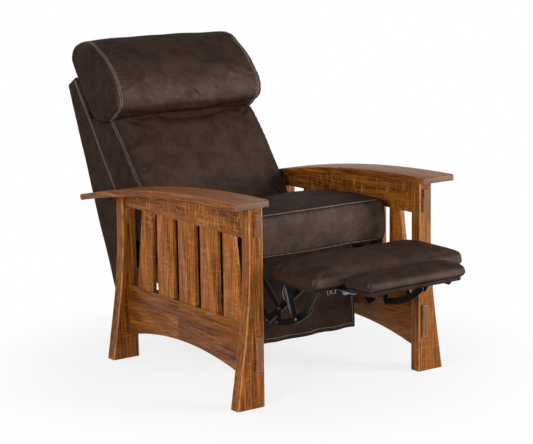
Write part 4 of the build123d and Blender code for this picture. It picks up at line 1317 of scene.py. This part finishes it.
class LeatherSizes(bpy.types.PropertyGroup):
    """Sizes and colours of the leather and its seams"""

    dark: FloatVectorProperty(
        name="Dark tone", description="Darkest tone of the leather", subtype="COLOR", size=4,
        default=linear(30, 18, 13),
    )
    light: FloatVectorProperty(
        name="Light tone", description="Lightest tone of the leather", subtype="COLOR", size=4,
        default=linear(56, 38, 30),
    )
    red: FloatVectorProperty(
        name="Red tone", description="Reddish blotches", subtype="COLOR", size=4,
        default=linear(56, 33, 23),
    )
    # Painted sheen and highlight colour: the lightened leather on what faces forwards and on the welts.
    rubbed: FloatVectorProperty(
        name="Rubbed tone", description="Colour of rubbed leather and welts", subtype="COLOR", size=4,
        default=linear(128, 106, 94),
    )
    gloss: FloatProperty(name="Gloss", description="Weight of the leather's polish", default=0.14)
    # Share of the painted sheen colour on what faces forwards.
    painted_sheen_share: FloatProperty(
        name="Wear", description="Share of the rubbed tone on what faces forwards",
        default=0.22,
    )
    grain: FloatProperty(
        name="Grain", description="Size of one pebble of the grain", unit="LENGTH",
        default=0.0012,
    )
    welt: FloatProperty(name="Welt", description="Radius of the welts", default=0.0018, unit="LENGTH")
    stitch_length: FloatProperty(
        name="Stitch", description="Length of one stitch", unit="LENGTH",
        default=0.0042,
    )
    thread_radius: FloatProperty(
        name="Thread", description="Radius of the thread", unit="LENGTH",
        default=0.0008,
    )
    voxel: FloatProperty(
        name="Mesh size", description="Face size of the large cushions", unit="LENGTH",
        default=0.006,
    )
    swell: FloatProperty(
        name="Swell", description="Most that a cushion swells", unit="LENGTH",
        default=0.010,
    )


class SteelSizes(bpy.types.PropertyGroup):
    """Sizes of the small steel parts"""

    rivet: FloatProperty(
        name="Rivet", description="Radius of a rivet's head", unit="LENGTH",
        default=0.0046,
    )
    boss: FloatProperty(
        name="Boss", description="Reach of a link's head about its pivot", unit="LENGTH",
        default=0.0085,
    )
    wire: FloatProperty(name="Wire", description="Radius of the wires", default=0.0009, unit="LENGTH")
    coil: FloatProperty(
        name="Coil", description="Radius of the springs' coils", unit="LENGTH",
        default=0.0038,
    )


class StageSizes(bpy.types.PropertyGroup):
    """Floor, lights and camera"""

    floor: FloatVectorProperty(
        name="Floor", description="Colour of the floor", subtype="COLOR", size=4,
        default=linear(247, 247, 246),
    )
    lift: FloatProperty(
        name="Floor lift", description="Share of plain white in the floor near the chair",
        default=0.8,
    )
    ambient: FloatProperty(
        name="Ambient", description="Strength of the light from the horizon",
        default=0.5,
    )
    overhead: FloatProperty(
        name="Overhead", description="Strength of the light from straight above",
        default=0.10,
    )
    key: FloatProperty(name="Key light", description="Power of the main light", default=150.0, unit="POWER")
    fill: FloatProperty(
        name="Fill light", description="Power of the light on the near side", unit="POWER",
        default=95.0,
    )
    rear: FloatProperty(
        name="Rear light", description="Power of the light from behind", unit="POWER",
        default=28.0,
    )
    lens: FloatProperty(name="Lens", description="Focal length in millimetres", default=113.415)


steps = (
    RECLINER_OT_stage,
    RECLINER_OT_oak_frame,
    RECLINER_OT_inner_frame,
    RECLINER_OT_mechanism,
    RECLINER_OT_seat_cushion,
    RECLINER_OT_back_cushion,
    RECLINER_OT_headrest,
    RECLINER_OT_footrest_pads,
    RECLINER_OT_wings,
    RECLINER_OT_outer_back,
    RECLINER_OT_valance,
)


class RECLINER_PT_panel(bpy.types.Panel):
    """Lists the steps in the 3D view's sidebar"""

    bl_idname = "RECLINER_PT_panel"
    bl_label = "Oak recliner"
    bl_space_type = "VIEW_3D"
    bl_region_type = "UI"
    bl_category = "Recliner"

    def draw(self, context):
        for step in steps:
            self.layout.operator(step.bl_idname)


groups = {
    "recliner_oak": OakSizes,
    "recliner_leather": LeatherSizes,
    "recliner_steel": SteelSizes,
    "recliner_stage": StageSizes,
}


def register():
    for group in groups.values():
        bpy.utils.register_class(group)
    for name, group in groups.items():
        setattr(bpy.types.Scene, name, PointerProperty(type=group))
    for step in (*steps, RECLINER_PT_panel):
        bpy.utils.register_class(step)


def unregister():
    for step in (*steps, RECLINER_PT_panel):
        bpy.utils.unregister_class(step)
    for name, group in groups.items():
        delattr(bpy.types.Scene, name)
        bpy.utils.unregister_class(group)


def main():
    register()
    for step in steps:
        group, action = step.bl_idname.split(".")
        getattr(getattr(bpy.ops, group), action)()


if __name__ == "__main__":
    main()
